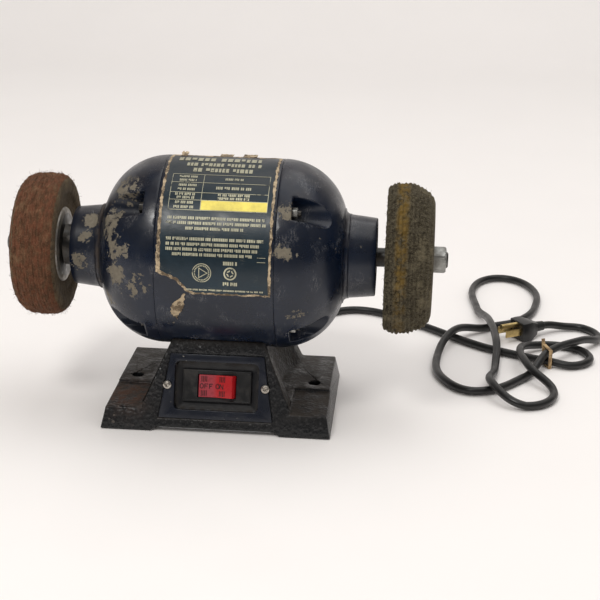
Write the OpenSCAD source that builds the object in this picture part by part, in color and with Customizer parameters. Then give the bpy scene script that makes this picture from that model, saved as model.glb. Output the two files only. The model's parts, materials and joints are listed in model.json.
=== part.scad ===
// Bench grinder fitted with two buffing wheels: a round motor housing on a cast pedestal,
// a shaft out of both ends, a rocker switch in front and a cord behind.
// The origin is on the floor under the middle of the motor. +X runs along the shaft,
// +Y points away from the switch, +Z is up. Sizes are in millimetres.

/* [Housing] */
// Outer radius of the motor housing
body_r = 74.5; // [66:0.5:90]
// Height of the lowest line of the housing above the floor
saddle_z = 54.1; // [48:0.1:66]
// Half the length of the stator shell, out to each seam
seam_x = 45; // [43:0.5:55]
// Wall of the stator shell and of the end bells
shell_wall = 3; // [2.5:0.1:4]
// Radius of the end bell's rounded shoulder
dome_r = 50.5; // [46:0.5:54]
// Radius of the collar where it meets the dome
collar_r = 33.4; // [31:0.1:36]
// How much the collar's radius draws in by its end
collar_draft = 2.6; // [0:0.1:3]
// Length of the collar beyond the dome
collar_len = 24; // [22:0.5:30]
// Radius of the fillet between dome and collar
collar_fillet = 4; // [2:0.5:5]
// Depth of the lip that centres each bell in the shell
spigot_len = 4; // [3:0.5:6]

/* [Through bolts] */
// Space between the stator core and the shell, where the through bolts run
bolt_gap = 13.5; // [12:0.5:16]
// Radius of a through bolt
bolt_r = 2.5; // [2:0.1:3]
// Radius of the pocket that a bolt end sits in
pocket_r = 10; // [9:0.5:11]
// Distance from the seam to the flat wall of the pocket
pocket_wall = 11; // [9:0.5:14]
// Thickness of the metal round a pocket
pocket_skin = 2.6; // [2:0.1:3]

/* [Bearings] */
// Outer radius of a ball bearing
bearing_r = 17.5; // [16:0.5:19]
// Width of a ball bearing
bearing_w = 11; // [10:0.5:12]
// Number of balls in a bearing
ball_count = 8; // [6:1:8]

/* [Shaft and wheels] */
// Radius of the shaft in the rotor
shaft_r = 10; // [9:0.1:11]
// Radius of the shaft in the bearings
journal_r = 7.5; // [7:0.1:8]
// Radius of the threaded arbor that holds a wheel
arbor_r = 6.35; // [6:0.05:6.5]
// Bare shaft between the collar and the inner flange
bare_shaft = 8.5; // [6:0.5:14]
// Radius of the wheel flanges
flange_r = 30; // [24:0.5:34]
// Thickness of a wheel flange
flange_t = 3; // [2:0.5:4]
// Thickness of a buffing wheel between its flanges
hub_t = 28.5; // [20:0.5:32]
// Radius of the left buffing wheel
left_wheel_r = 56.5; // [50:0.5:76]
// Width of the left buffing wheel at its rim
left_wheel_w = 35; // [30:0.5:40]
// Radius of the right buffing wheel
right_wheel_r = 58.3; // [50:0.1:76]
// Width of the right buffing wheel at its rim
right_wheel_w = 37; // [30:0.5:40]
// Distance across the flats of an arbor nut
nut_flats = 19; // [17:0.5:22]
// Thickness of an arbor nut
nut_t = 11.5; // [9:0.5:13]
// How far the shaft sticks out of its nut
shaft_tip = 1.6; // [1:0.1:6]

/* [Motor] */
// Length of the stator and rotor cores
stack_len = 50; // [44:1:56]
// Radius of the rotor
rotor_r = 28; // [24:0.5:30]
// Gap between rotor and stator
air_gap = 0.4; // [0.3:0.05:0.6]
// Solid ring of the stator core outside its slots
yoke = 12; // [10:0.5:14]
// Number of stator slots
slot_count = 24; // [18:2:24]
// Length of the winding's end turns beyond the core
end_turn = 15; // [10:0.5:16]

/* [Base] */
// Width of the base on the floor
foot_w = 180.4; // [170:0.2:200]
// Depth of the base on the floor
foot_d = 136.2; // [126:0.2:150]
// Height of the feet
foot_h = 19.4; // [17:0.2:24]
// Draft of the foot's end faces, in degrees
foot_draft = 12; // [4:0.5:14]
// Lean of the front and back faces, in degrees
lean = 17.5; // [15:0.5:19]
// Width of the pedestal at the top of the feet
waist_w = 116.4; // [112:0.2:124]
// Slope of the pedestal's sides from upright, in degrees
side_slope = 23.9; // [18:0.1:25]
// Depth of the hollow in each side of the pedestal
side_hollow = 12; // [6:0.5:13]
// Wall of the casting
cast_wall = 5; // [4:0.5:6]
// Height of the middle of the base above the floor
arch_h = 3; // [2.5:0.5:5]
// Width of each foot's contact with the floor
foot_contact = 40; // [36:1:42]
// Radius of the mounting holes
mount_r = 4.75; // [3.5:0.05:5.5]
// Distance between the mounting holes
mount_pitch = 145.6; // [140:0.2:150]
// How far the pad round a mounting hole stands above the rest of the foot
pad_step = 2.4; // [1:0.2:3]

/* [Switch] */
// Width of the switch plate at its top edge
plate_top_w = 73.4; // [72:0.2:75]
// Width of the switch plate at its bottom edge
plate_bottom_w = 89.2; // [86:0.2:92]
// Height of the switch plate along the leaning face
plate_h = 50.5; // [49:0.5:52]
// Distance from the floor to the switch plate along the leaning face
plate_v = 11; // [10:0.5:12]
// Thickness of the switch plate
plate_t = 2; // [1.5:0.1:2.5]
// Width of the dished panel in the switch plate
dish_w = 66; // [62:0.5:67]
// Height of the dished panel
dish_h = 38; // [34:0.5:39]
// Depth of the dished panel
dish_depth = 6; // [4:0.5:8]
// Width of the switch's bezel
bezel_w = 54; // [46:0.5:56]
// Height of the switch's bezel
bezel_h = 25; // [24:0.5:28]
// Thickness of the bezel
bezel_t = 2.4; // [1.5:0.1:3]
// Radius of the rocker about its pivot
rocker_r = 15; // [13:0.5:16]
// Height of the rocker's face
rocker_h = 17.6; // [15:0.2:19]
// Angle that the rocker turns through
rocker_swing = 18; // [12:1:20]

/* [Cord] */
// Diameter of the cord
cord_d = 7; // [6:0.5:7.5]
// Length of the strain relief outside the base
relief_len = 30; // [22:1:34]

/* [Hidden] */
$fn = 96;

// Clearance of a running fit, and of a part that only has to pass
run_gap = 0.03;
gap = 0.2;
// What slides onto the arbor, and the looser hole of a buffing wheel
arbor_fit = 0.05;
wheel_fit = 0.1;

// Heights and radii that several pieces share
axis_h = saddle_z + body_r;
shell_in = body_r - shell_wall;
core_r = shell_in - bolt_gap;
bolt_circle = core_r + bolt_gap / 2 - 0.5;
dome_c = body_r - dome_r;

// Places along the shaft, each measured from the middle of the motor
collar_x = seam_x + dome_r;
collar_end = collar_x + collar_len;
collar_end_r = collar_r - collar_draft;
end_wall = 6;
spring_t = 1.3;
seat_out = collar_end - end_wall;
bearing_out = seat_out - spring_t;
bearing_in = bearing_out - bearing_w;
flange_x = collar_end + bare_shaft;
hub_x = flange_x + flange_t;
outer_flange_x = hub_x + hub_t;
nut_x = outer_flange_x + flange_t;
tip_x = nut_x + nut_t + shaft_tip;
// The balls and races share out the space between the shaft and the bearing's outside
bearing_space = bearing_r - journal_r;
ball_circle_r = journal_r + bearing_space / 2;
ball_r = bearing_space * 0.3;
race_t = bearing_space * 0.29;
// A flange's raised middle, the depth of its dish, and the left inner one's boss
flange_middle_r = 12;
flange_dish = 0.7;
boss_r = 16;
boss_gap = 1.5;
cage_t = ball_r * 0.8;
cage_w = ball_r * 8 / 3;
seal_groove = 1;

// The stator's ribs, the rotor's bars and the motor's joints
rib_w = 8;
foot_rib_w = 16;
bar_r = 2;
bar_count = 18;
bar_depth = 3.5;
fan_blades = 6;
press_gap = 0.02;
through_nut_r = 4.6;
through_nut_t = 4.2;

// The label and the bolts that hold the housing down
label_t = 0.3;
label_inset = 1.5;
label_low = 10;
label_high = 99.5;
housing_bolt_x = 20;
housing_bolt_r = 3;

// The pedestal is drawn up into the housing and cut back by it
pedestal_top = saddle_z + body_r / 3;

// The pedestal's half width and its front face's distance from the middle, at height z
function waist(z) = waist_w / 2 - (z - foot_h) * tan(side_slope);
function front(z) = foot_d / 2 - z * tan(lean);

// Places of the switch's parts on the leaning face, measured along it
switch_v = plate_v + 25.8;
plate_screw_u = 38.4;
plate_screw_r = 1.5;
dish_skin = 1.6;
dish_floor = -dish_depth;
rocker_deep = 4.4;
rocker_w = dish_floor + bezel_t - rocker_deep;
well_d = 14;
switch_body_d = 22;
trunnion_r = 1.5;
rocker_gap = 0.3;
// The flat tabs that the wires push onto
tab_w = 6.2;
tab_t = 0.7;
tab_len = 8;
tab_x = 12;
tab_y = 5;

// The cavity under the pedestal
cavity_top_w = 58;
cavity_bottom_w = 74;
cover_t = 1.2;
cover_w = 88;
cover_d = foot_d - 7;
cover_screw = [40.5, 50];
cover_screw_r = 1.5;

// The capacitor lies along X in the back of the cavity
cap_r = 12;
cap_len = 46;
cap_y = 24;
cap_z = arch_h + 14;

// The cord leaves the back face and runs along the floor; each point is [x, y, z]
relief_x = 24;
relief_z = 22;
relief_r = 6;
relief_lip = 7.4;
relief_flange = 9.2;
cord_start = [relief_x, front(relief_z) + relief_len, relief_z];
cord_route = [
    cord_start, [25, 118, 15], [38, 165, 3.5], [68, 214, 3.5], [104, 230, 3.5], [150, 202, 3.5],
    [212, 147, 3.5], [248, 126, 3.5], [270, 114, 4.6], [295, 108, 3.5], [310, 130, 3.5],
    [292, 154, 3.5], [260, 146, 6.5], [247, 118, 12.4], [252, 80, 12.2], [271, 40, 3.5],
    [246, 11, 3.5], [219, 38, 11.6], [224, 90, 4], [227, 137, 11.8], [223, 195, 11.6],
    [214, 250, 3.5], [214, 322, 3.5], [242, 351, 3.5], [271, 322, 3.5], [270, 258, 3.5],
    [250, 217, 3.5], [221, 196, 3.5], [190, 163, 11.7], [174, 112, 3.5], [180, 60, 3.5],
    [208, 38, 3.5], [250, 76, 3.5], [271, 113, 12.8], [303, 150, 11.8], [323, 180, 3.5],
    [314, 205, 3.5], [294, 207, 4.5], [273, 194, 9]
];
ring_step = 22;
cord_sides = 10;
tie_at = [270.6, 113.6, 0];
tie_turn = 16;
tie_w = 3;
tie_t = 0.8;
tie_in_w = 15;
tie_in_h = 15.5;
tie_z = 8.7;
plug_at = cord_route[len(cord_route) - 1];
plug_turn = 212;
plug_len = 30;
plug_w = 22;
plug_t = 17.6;
blade_len = 16;

// Turns its children's Z along the shaft and moves them out to x
module along(x) {
    translate([x, 0, axis_h]) rotate([0, 90, 0]) children();
}

// Draws its children on the right, or mirrored on the left
module on_side(right) {
    if (right) children();
    else mirror([1, 0, 0]) children();
}

// Puts its children on the leaning front face: X across, Y up the face, Z out of it
module on_front() {
    translate([0, -foot_d / 2, 0]) rotate([90 - lean, 0, 0]) children();
}

module ring(inner, outer, length) {
    linear_extrude(length) difference() {
        circle(outer);
        circle(inner);
    }
}

module rounded(w, h, r) {
    hull() for (x = [-1, 1], y = [-1, 1])
        translate([x * (w / 2 - r), y * (h / 2 - r)]) circle(r, $fn = 32);
}

// A pan head screw: its head stands on Z = 0 and its shank runs down
module pan_screw(head_r, head_t, shank_r, length) {
    difference() {
        union() {
            cylinder(r = head_r, h = head_t * 0.55);
            translate([0, 0, head_t * 0.55]) cylinder(r1 = head_r, r2 = head_r * 0.62, h = head_t * 0.45);
            translate([0, 0, -length]) cylinder(r = shank_r, h = length + 0.1);
        }
        for (a = [0, 90]) rotate(a)
            translate([-head_r * 0.55, -0.4, head_t * 0.45]) cube([head_r * 1.1, 0.8, head_t]);
    }
}

// ---- Base ----

// The casting's outline seen from the front
module front_outline() {
    in = foot_w / 2 - foot_contact;
    top = foot_w / 2 - foot_h * tan(foot_draft);
    polygon([
        [-foot_w / 2, 0], [-in, 0], [-in + arch_h, arch_h], [in - arch_h, arch_h], [in, 0],
        [foot_w / 2, 0], [top, foot_h], [waist(foot_h), foot_h], [waist(pedestal_top), pedestal_top],
        [-waist(pedestal_top), pedestal_top], [-waist(foot_h), foot_h], [-top, foot_h]
    ]);
}

// A wedge that leans in from both faces by the same angle, inset from them
module leaning_wedge(inset, low, high) {
    rotate([90, 0, 90]) linear_extrude(foot_w + 20, center = true) polygon([
        [-front(low) + inset, low], [front(low) - inset, low],
        [front(high) - inset, high], [-front(high) + inset, high]
    ]);
}

module base() color([0.07, 0.07, 0.08]) difference() {
    intersection() {
        translate([0, foot_d, 0]) rotate([90, 0, 0]) linear_extrude(2 * foot_d) front_outline();
        leaning_wedge(0, -1, axis_h);
    }
    // the saddle that the housing rests in
    translate([-foot_w / 2, 0, axis_h]) rotate([0, 90, 0]) cylinder(r = body_r, h = foot_w);
    // the cavity, open below
    intersection() {
        translate([0, foot_d, 0]) rotate([90, 0, 0]) linear_extrude(2 * foot_d) polygon([
            [-cavity_bottom_w / 2, -1], [cavity_bottom_w / 2, -1],
            [cavity_top_w / 2, saddle_z], [-cavity_top_w / 2, saddle_z]
        ]);
        leaning_wedge(cast_wall, -2, saddle_z + 1);
        difference() {
            translate([-foot_w / 2, -foot_d / 2, -1]) cube([foot_w, foot_d, axis_h]);
            translate([-foot_w / 2, 0, axis_h]) rotate([0, 90, 0])
                cylinder(r = body_r + cast_wall, h = foot_w);
        }
    }
    // the hollow sides of the pedestal
    for (s = [false, true]) on_side(s) side_scoop();
    // the lower front half of each foot
    for (s = [false, true]) on_side(s) foot_step();
    // mounting holes
    for (s = [-1, 1]) translate([s * mount_pitch / 2, 0, -1]) cylinder(r = mount_r, h = foot_h + 2);
    // the seat of the switch plate and the window behind it
    on_front() {
        translate([0, 0, -plate_t]) linear_extrude(plate_t + 5) offset(delta = gap) plate_outline();
        translate([0, switch_v, -cast_wall * 2 - 4]) linear_extrude(cast_wall * 2 + 8)
            square([dish_w + 2 * dish_skin + 1, dish_h + 2 * dish_skin + 1], center = true);
        for (s = [-1, 1]) translate([s * plate_screw_u, switch_v, -cast_wall - 4])
            cylinder(r = plate_screw_r + 0.1, h = 10);
    }
    // holes for the strain relief, the cover screws and the bolts that hold the housing
    translate([relief_x, front(relief_z) + 10, relief_z]) rotate([90, 0, 0])
        cylinder(r = relief_r + gap, h = 30);
    for (x = [-1, 1], y = [-1, 1]) translate([x * cover_screw[0], y * cover_screw[1], -1])
        cylinder(r = cover_screw_r + 0.1, h = arch_h + 9);
    for (s = [-1, 1]) translate([s * housing_bolt_x, 0, saddle_z - 10])
        cylinder(r = housing_bolt_r + gap, h = 20);
}

// Cuts the concave side between the front and back edges of the pedestal
module side_scoop() {
    half = foot_d / 2 - 22;
    scoop_r = (half * half + side_hollow * side_hollow) / (2 * side_hollow);
    intersection() {
        translate([waist(foot_h) + scoop_r / cos(side_slope) - side_hollow, 0, foot_h])
            rotate([0, -side_slope, 0]) translate([0, 0, -80]) cylinder(r = scoop_r, h = 240);
        translate([0, -foot_d / 2, foot_h]) cube([foot_w, foot_d, axis_h]);
    }
}

// Takes down the front of a foot, in front of the pad round its mounting hole
module foot_step() {
    difference() {
        translate([0, -foot_d / 2 - 1, foot_h - pad_step]) cube([foot_w, foot_d / 2 - 12, pad_step + 1]);
        translate([0, -foot_d / 2 - 2, 0]) rotate([-90, 0, 0])
            linear_extrude(foot_d) polygon([
                [0, 1], [0, -foot_h - 5], [waist(foot_h) - 2.2, -foot_h - 5],
                [waist(foot_h) + 0.2, -foot_h + pad_step], [waist(foot_h) + 0.2, 1]
            ]);
    }
}

module base_cover() color([0.25, 0.26, 0.27]) difference() {
    translate([-cover_w / 2, -cover_d / 2, arch_h - cover_t]) cube([cover_w, cover_d, cover_t]);
    for (x = [-1, 1], y = [-1, 1]) translate([x * cover_screw[0], y * cover_screw[1], 0])
        cylinder(r = cover_screw_r + gap, h = 5);
    for (i = [-2:2]) translate([i * 12 - 1.5, -46, 0]) cube([3, 40, 5]);
    at_clip_screws() cylinder(r = 1.3, h = 10, center = true);
}

module cover_screws() color([0.55, 0.55, 0.56])
    for (x = [-1, 1], y = [-1, 1])
        translate([x * cover_screw[0], y * cover_screw[1], arch_h - cover_t]) rotate([180, 0, 0])
            pan_screw(3.1, 1.5, cover_screw_r, 8);

// Bolts from inside the cavity up into the housing's lower rib
module housing_bolts() color([0.5, 0.5, 0.5])
    for (s = [-1, 1]) translate([s * housing_bolt_x, 0, saddle_z - cast_wall]) {
        translate([0, 0, -5.2]) cylinder(r = 5.77, h = 4, $fn = 6);
        translate([0, 0, -1.2]) cylinder(r = 6.5, h = 1.2);
        translate([0, 0, -0.1]) cylinder(r = housing_bolt_r, h = cast_wall + shell_wall + 6);
    }

// ---- Switch ----

module plate_outline() {
    polygon([
        [-plate_bottom_w / 2, plate_v], [plate_bottom_w / 2, plate_v],
        [plate_top_w / 2, plate_v + plate_h], [-plate_top_w / 2, plate_v + plate_h]
    ]);
}

module switch_plate() color([0.09, 0.11, 0.16]) on_front() difference() {
    union() {
        translate([0, 0, -plate_t + 0.05]) linear_extrude(plate_t + 0.35) plate_outline();
        translate([0, switch_v, dish_floor - dish_skin]) linear_extrude(dish_depth)
            rounded(dish_w + 2 * dish_skin, dish_h + 2 * dish_skin, 5);
    }
    translate([0, switch_v, dish_floor]) linear_extrude(dish_depth + 5) rounded(dish_w, dish_h, 4);
    translate([0, switch_v, dish_floor - 5]) linear_extrude(10)
        square([bezel_w - 5 + gap, bezel_h - 4 + gap], center = true);
    for (s = [-1, 1]) translate([s * plate_screw_u, switch_v, -5])
        cylinder(r = plate_screw_r + gap, h = 10);
}

module plate_screws() color([0.72, 0.7, 0.66]) on_front()
    for (s = [-1, 1]) translate([s * plate_screw_u, switch_v, 0.4]) rotate(s * 20)
        pan_screw(3.3, 2, plate_screw_r, 7);

module switch_body() color([0.03, 0.03, 0.03]) on_front() translate([0, switch_v, 0]) difference() {
    union() {
        translate([0, 0, dish_floor]) linear_extrude(bezel_t) rounded(bezel_w, bezel_h, 2);
        translate([-(bezel_w - 5) / 2, -(bezel_h - 4) / 2, dish_floor - switch_body_d])
            cube([bezel_w - 5, bezel_h - 4, switch_body_d + 0.1]);
    }
    translate([-rocker_r - rocker_gap, -rocker_h / 2 - rocker_gap, rocker_w - well_d + rocker_deep])
        cube([2 * (rocker_r + rocker_gap), rocker_h + 2 * rocker_gap, 30]);
    translate([0, 0, rocker_w]) rotate([90, 0, 0])
        cylinder(r = trunnion_r + run_gap, h = rocker_h + 2.2, center = true);
    for (x = [-1, 1], y = [-1, 1])
        translate([x * tab_x, y * tab_y, dish_floor - switch_body_d + 1.5])
            cube([tab_w + 0.1, tab_t + 0.1, 5], center = true);
}

// The rocker at rest, its left end pressed in and its right end standing out
module switch_rocker() color([0.75, 0.05, 0.07])
    on_front() translate([0, switch_v, rocker_w]) rotate([90, 0, 0]) {
        linear_extrude(rocker_h, center = true) intersection() {
            circle(rocker_r);
            union() {
                translate([-rocker_r - 1, -3]) square([rocker_r + 1.2, rocker_deep + 3.4]);
                polygon([
                    [0, -3], [rocker_r + 1, -3],
                    [rocker_r + 1, rocker_deep + 0.4 + (rocker_r + 1) * tan(rocker_swing)],
                    [0, rocker_deep + 0.4]
                ]);
            }
        }
        cylinder(r = trunnion_r, h = rocker_h + 1.8, center = true);
    }

module switch_terminals() color([0.8, 0.65, 0.3]) on_front() translate([0, switch_v, 0])
    for (x = [-1, 1], y = [-1, 1])
        translate([x * tab_x - tab_w / 2, y * tab_y - tab_t / 2, dish_floor - switch_body_d - tab_len])
            cube([tab_w, tab_t, tab_len + 3.9]);

// ---- Housing ----

module stator_shell() color([0.07, 0.09, 0.15]) along(-seam_x) difference() {
    union() {
        ring(shell_in, body_r, 2 * seam_x);
        translate([0, 0, spigot_len + 1]) linear_extrude(2 * (seam_x - spigot_len - 1)) difference() {
            union() {
                // ribs that grip the stator core, the lowest one wide enough for the housing bolts
                for (a = [90, 180, 270]) rotate(a)
                    translate([core_r - 1, -rib_w / 2]) square([bolt_gap + 2, rib_w]);
                translate([core_r - 1, -foot_rib_w / 2]) square([bolt_gap + 2, foot_rib_w]);
            }
            circle(core_r);
            difference() {
                circle(body_r + 5);
                circle(shell_in + 0.5);
            }
        }
    }
    for (s = [-1, 1]) translate([body_r - 20, 0, seam_x + s * housing_bolt_x]) rotate([0, 90, 0])
        cylinder(r = housing_bolt_r + run_gap, h = 30);
}

// The solid shape of a bell's outside, from the seam at Z = 0 outwards, less an inset
module bell_shape(inset) {
    intersection() {
        square([body_r - inset, dome_r - inset]);
        union() {
            translate([dome_c, 0]) circle(dome_r - inset);
            square([dome_c, dome_r - inset]);
        }
    }
}

module bell_outside() {
    rotate_extrude() {
        bell_shape(0);
        polygon([
            [0, 10], [collar_r, 10], [collar_r, dome_r],
            [collar_end_r, dome_r + collar_len], [0, dome_r + collar_len]
        ]);
        // the fillet in the corner between dome and collar
        difference() {
            translate([collar_r - 1, dome_r - 6]) square([collar_fillet + 1, 6 + collar_fillet - 1]);
            translate([collar_r + collar_fillet, dome_r + collar_fillet - 1])
                circle(collar_fillet);
        }
    }
}

module end_bell(right) color([0.07, 0.09, 0.15]) on_side(right) along(seam_x) difference() {
    union() {
        difference() {
            bell_outside();
            // the hollow inside, up to the bearing seat
            rotate_extrude() {
                bell_shape(shell_wall);
                square([shell_in, 0.1]);
                square([bearing_r + 6.3, bearing_in - seam_x]);
            }
        }
        // the metal round each bolt pocket
        intersection() {
            bell_outside();
            for (a = [45:90:315]) rotate(a) translate([bolt_circle, 0, 0])
                cylinder(r = pocket_r + pocket_skin, h = dome_r - 6);
        }
        // the lip inside the shell
        translate([0, 0, -spigot_len]) difference() {
            cylinder(r = shell_in - run_gap, h = spigot_len + 4);
            translate([0, 0, -1]) cylinder(r = shell_in - shell_wall, h = spigot_len + 8);
        }
    }
    // the bolt pockets and their bolt holes
    for (a = [45:90:315]) rotate(a) {
        translate([0, 0, pocket_wall]) linear_extrude(dome_r) {
            translate([bolt_circle, 0]) circle(pocket_r);
            translate([bolt_circle, -pocket_r]) square([40, 2 * pocket_r]);
        }
        translate([bolt_circle, 0, -spigot_len - 1])
            cylinder(r = bolt_r + gap, h = spigot_len + pocket_wall + 3);
    }
    // the bearing seat and the shaft hole
    translate([0, 0, bearing_in - seam_x - 1]) cylinder(r = bearing_r, h = bearing_w + spring_t + 1);
    translate([0, 0, seat_out - seam_x - 1]) cylinder(r = journal_r + 1, h = end_wall + 2);
    translate([0, 0, collar_end - seam_x - seal_groove])
        ring(journal_r + 5, collar_end_r - 4, 2 * seal_groove);
}

module left_end_bell() end_bell(false);
module right_end_bell() end_bell(true);

module at_bolts() {
    for (a = [45:90:315]) rotate(a) translate([bolt_circle, 0, 0]) children();
}

module through_bolts() color([0.45, 0.42, 0.38]) along(0) at_bolts() {
    translate([0, 0, -seam_x - pocket_wall - 4]) cylinder(r = through_nut_r, h = 4, $fn = 6);
    translate([0, 0, -seam_x - pocket_wall - 0.1])
        cylinder(r = bolt_r, h = 2 * (seam_x + pocket_wall) + 7);
}

module through_bolt_nuts() color([0.5, 0.47, 0.42]) along(0) at_bolts()
    translate([0, 0, seam_x + pocket_wall]) difference() {
        cylinder(r = through_nut_r, h = through_nut_t, $fn = 6);
        translate([0, 0, -1]) cylinder(r = bolt_r + run_gap, h = through_nut_t + 2);
    }

// The data label wrapped round the front and top of the shell
module label() color([0.08, 0.16, 0.2]) along(label_inset - seam_x)
    linear_extrude(2 * (seam_x - label_inset)) difference() {
        intersection() {
            circle(body_r + label_t);
            polygon([
                [0, 0],
                for (i = [0:4])
                    let (a = -label_low + i * (label_low + label_high) / 4)
                    2 * body_r * [-sin(a), -cos(a)]
            ]);
        }
        circle(body_r + press_gap);
    }

// ---- Motor ----

module stator_core() color([0.45, 0.46, 0.48]) along(-stack_len / 2)
    linear_extrude(stack_len) difference() {
        circle(core_r - press_gap);
        circle(rotor_r + air_gap);
        for (i = [0:slot_count - 1]) rotate(i * 360 / slot_count) slot_shape(0);
    }

// One stator slot: a narrow mouth and a wider body for the winding
module slot_shape(inset) {
    in = rotor_r + air_gap + 2;
    out = core_r - yoke;
    half_in = in * tan(180 / slot_count) * 0.55;
    half_out = out * tan(180 / slot_count) * 0.62;
    polygon([
        [in + inset, -half_in + inset], [out - inset, -half_out + inset],
        [out - inset, half_out - inset], [in + inset, half_in - inset]
    ]);
    if (inset == 0) translate([rotor_r, -0.9]) square([3, 1.8]);
}

module stator_windings() color([0.72, 0.42, 0.18]) along(0) {
    translate([0, 0, -stack_len / 2 - 1.5]) linear_extrude(stack_len + 3)
        for (i = [0:slot_count - 1]) rotate(i * 360 / slot_count) slot_shape(0.3);
    for (s = [0, 1]) mirror([0, 0, s]) translate([0, 0, stack_len / 2 + 1]) rotate_extrude()
        polygon([
            [rotor_r + 3, 0], [core_r - yoke + 2, 0], [core_r - 8, 5],
            [core_r - 9, end_turn - 2], [core_r - 14, end_turn],
            [rotor_r + 6, end_turn], [rotor_r + 3, end_turn - 4]
        ]);
}

module rotor_core() color([0.5, 0.5, 0.52]) along(-stack_len / 2) linear_extrude(stack_len) difference() {
    circle(rotor_r);
    circle(shaft_r);
    at_bars() circle(bar_r, $fn = 24);
}

module at_bars() {
    for (i = [0:bar_count - 1]) rotate(i * 360 / bar_count) translate([rotor_r - bar_depth, 0]) children();
}

// Cast aluminium bars and end rings with fan blades
module rotor_cage() color([0.75, 0.76, 0.78]) along(0) {
    translate([0, 0, -stack_len / 2 - 0.5]) linear_extrude(stack_len + 1)
        at_bars() circle(bar_r - press_gap, $fn = 24);
    for (s = [0, 1]) mirror([0, 0, s]) translate([0, 0, stack_len / 2 + press_gap]) {
        ring(rotor_r - 10, rotor_r - 0.5, 5);
        for (i = [0:fan_blades - 1]) rotate(i * 360 / fan_blades)
            translate([rotor_r - 9, -0.8, 4.9]) cube([7.5, 1.6, 7]);
    }
}

// The shaft steps down to the bearings, to the spacer diameter and to the arbors
module shaft() color([0.35, 0.35, 0.36]) along(0) for (s = [0, 1]) mirror([0, 0, s]) rotate_extrude()
    polygon([
        [0, 0], [shaft_r, 0], [shaft_r, bearing_in], [journal_r, bearing_in],
        [journal_r, flange_x], [arbor_r, flange_x], [arbor_r, tip_x - 1], [arbor_r - 1, tip_x], [0, tip_x]
    ]);

// A race of a bearing as a ring with the balls' groove in it
module race(inner, outer) {
    along(bearing_in) rotate_extrude() difference() {
        translate([inner, 0]) square([outer - inner, bearing_w]);
        translate([ball_circle_r, bearing_w / 2]) circle(ball_r + run_gap);
    }
}

module outer_race(right) color([0.7, 0.7, 0.72]) on_side(right) race(bearing_r - race_t, bearing_r);
module inner_race(right) color([0.7, 0.7, 0.72]) on_side(right) race(journal_r, journal_r + race_t);
module ball_set(right) color([0.8, 0.8, 0.8]) on_side(right) along(bearing_in + bearing_w / 2) {
    at_balls() sphere(ball_r);
    difference() {
        translate([0, 0, -cage_w / 2])
            ring(ball_circle_r - cage_t / 2, ball_circle_r + cage_t / 2, cage_w);
        at_balls() rotate([0, 90, 0]) cylinder(r = ball_r + 2 * run_gap, h = 2 * cage_t, center = true);
    }
}

module at_balls() {
    for (i = [0:ball_count - 1]) rotate(i * 360 / ball_count) translate([ball_circle_r, 0, 0]) children();
}

module left_outer_race() outer_race(false);
module left_ball_set() ball_set(false);
module left_inner_race() inner_race(false);
module right_outer_race() outer_race(true);
module right_ball_set() ball_set(true);
module right_inner_race() inner_race(true);

// The spring washer that loads the right bearing
module wave_spring() color([0.6, 0.6, 0.55]) along(bearing_out + 0.05)
    ring(bearing_r - 3.5, bearing_r - 0.3, spring_t - 0.1);

// ---- Wheels ----

// A flange whose rim presses the wheel at Z = flange_t, dished between its rim and its middle
module flange_disc() {
    polygon([
        [arbor_r + arbor_fit, 0], [flange_middle_r - 1, 0], [flange_middle_r + 2, flange_dish],
        [flange_r - 5, flange_dish], [flange_r - 1, flange_t / 2], [flange_r, flange_t],
        [flange_r - 6, flange_t], [flange_r - 8, flange_t - flange_dish],
        [flange_middle_r, flange_t - flange_dish], [flange_middle_r - 1, flange_t],
        [arbor_r + arbor_fit, flange_t]
    ]);
}

// The left inner flange has a boss that turns just clear of the collar; the right one has none
module inner_flange(right) color([0.6, 0.6, 0.58]) on_side(right) along(flange_x) rotate_extrude() {
    flange_disc();
    if (!right) polygon([
        [journal_r + arbor_fit, boss_gap - bare_shaft], [boss_r - 1, boss_gap - bare_shaft],
        [boss_r, boss_gap + 1 - bare_shaft], [boss_r, flange_dish + 0.2],
        [flange_middle_r - 1, flange_dish + 0.2], [flange_middle_r - 1, 0], [journal_r + arbor_fit, 0]
    ]);
}

module outer_flange(right) color([0.6, 0.6, 0.58]) on_side(right)
    along(outer_flange_x + flange_t) mirror([0, 0, 1]) rotate_extrude() flange_disc();

// A buffing wheel: layers pinched between the flanges and spread at a rounded rim
module buff(wheel_r, rim_w, round_in, round_out) {
    over = (rim_w - hub_t) / 2;
    rotate_extrude() polygon([
        [arbor_r + wheel_fit, 0], [flange_r + 1, 0], [flange_r + 5, -over], [wheel_r - 10, -over],
        [wheel_r - 10, hub_t + over], [flange_r + 5, hub_t + over], [flange_r + 1, hub_t],
        [arbor_r + wheel_fit, hub_t]
    ]);
    rotate_extrude() hull() {
        translate([wheel_r - 12, -over]) square([1, rim_w]);
        translate([wheel_r - round_in, -over + round_in]) circle(round_in, $fn = 32);
        translate([wheel_r - round_out, hub_t + over - round_out]) circle(round_out, $fn = 32);
    }
}

module left_wheel() color([0.32, 0.15, 0.1]) on_side(false) along(hub_x)
    buff(left_wheel_r, left_wheel_w, 10, 10);
module right_wheel() color([0.27, 0.25, 0.17]) along(hub_x)
    buff(right_wheel_r, right_wheel_w, 6, 11);

module arbor_nut(right) color([0.6, 0.6, 0.6]) on_side(right) along(nut_x) difference() {
    intersection() {
        cylinder(r = nut_flats / 2 / cos(30), h = nut_t, $fn = 6);
        union() {
            cylinder(r = nut_flats, h = nut_t - 1.6);
            translate([0, 0, nut_t - 1.61])
                cylinder(r1 = nut_flats / 2 / cos(30) + 0.6, r2 = nut_flats / 2 - 0.4, h = 1.61);
        }
    }
    translate([0, 0, -1]) cylinder(r = arbor_r + arbor_fit, h = nut_t + 2);
}

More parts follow.
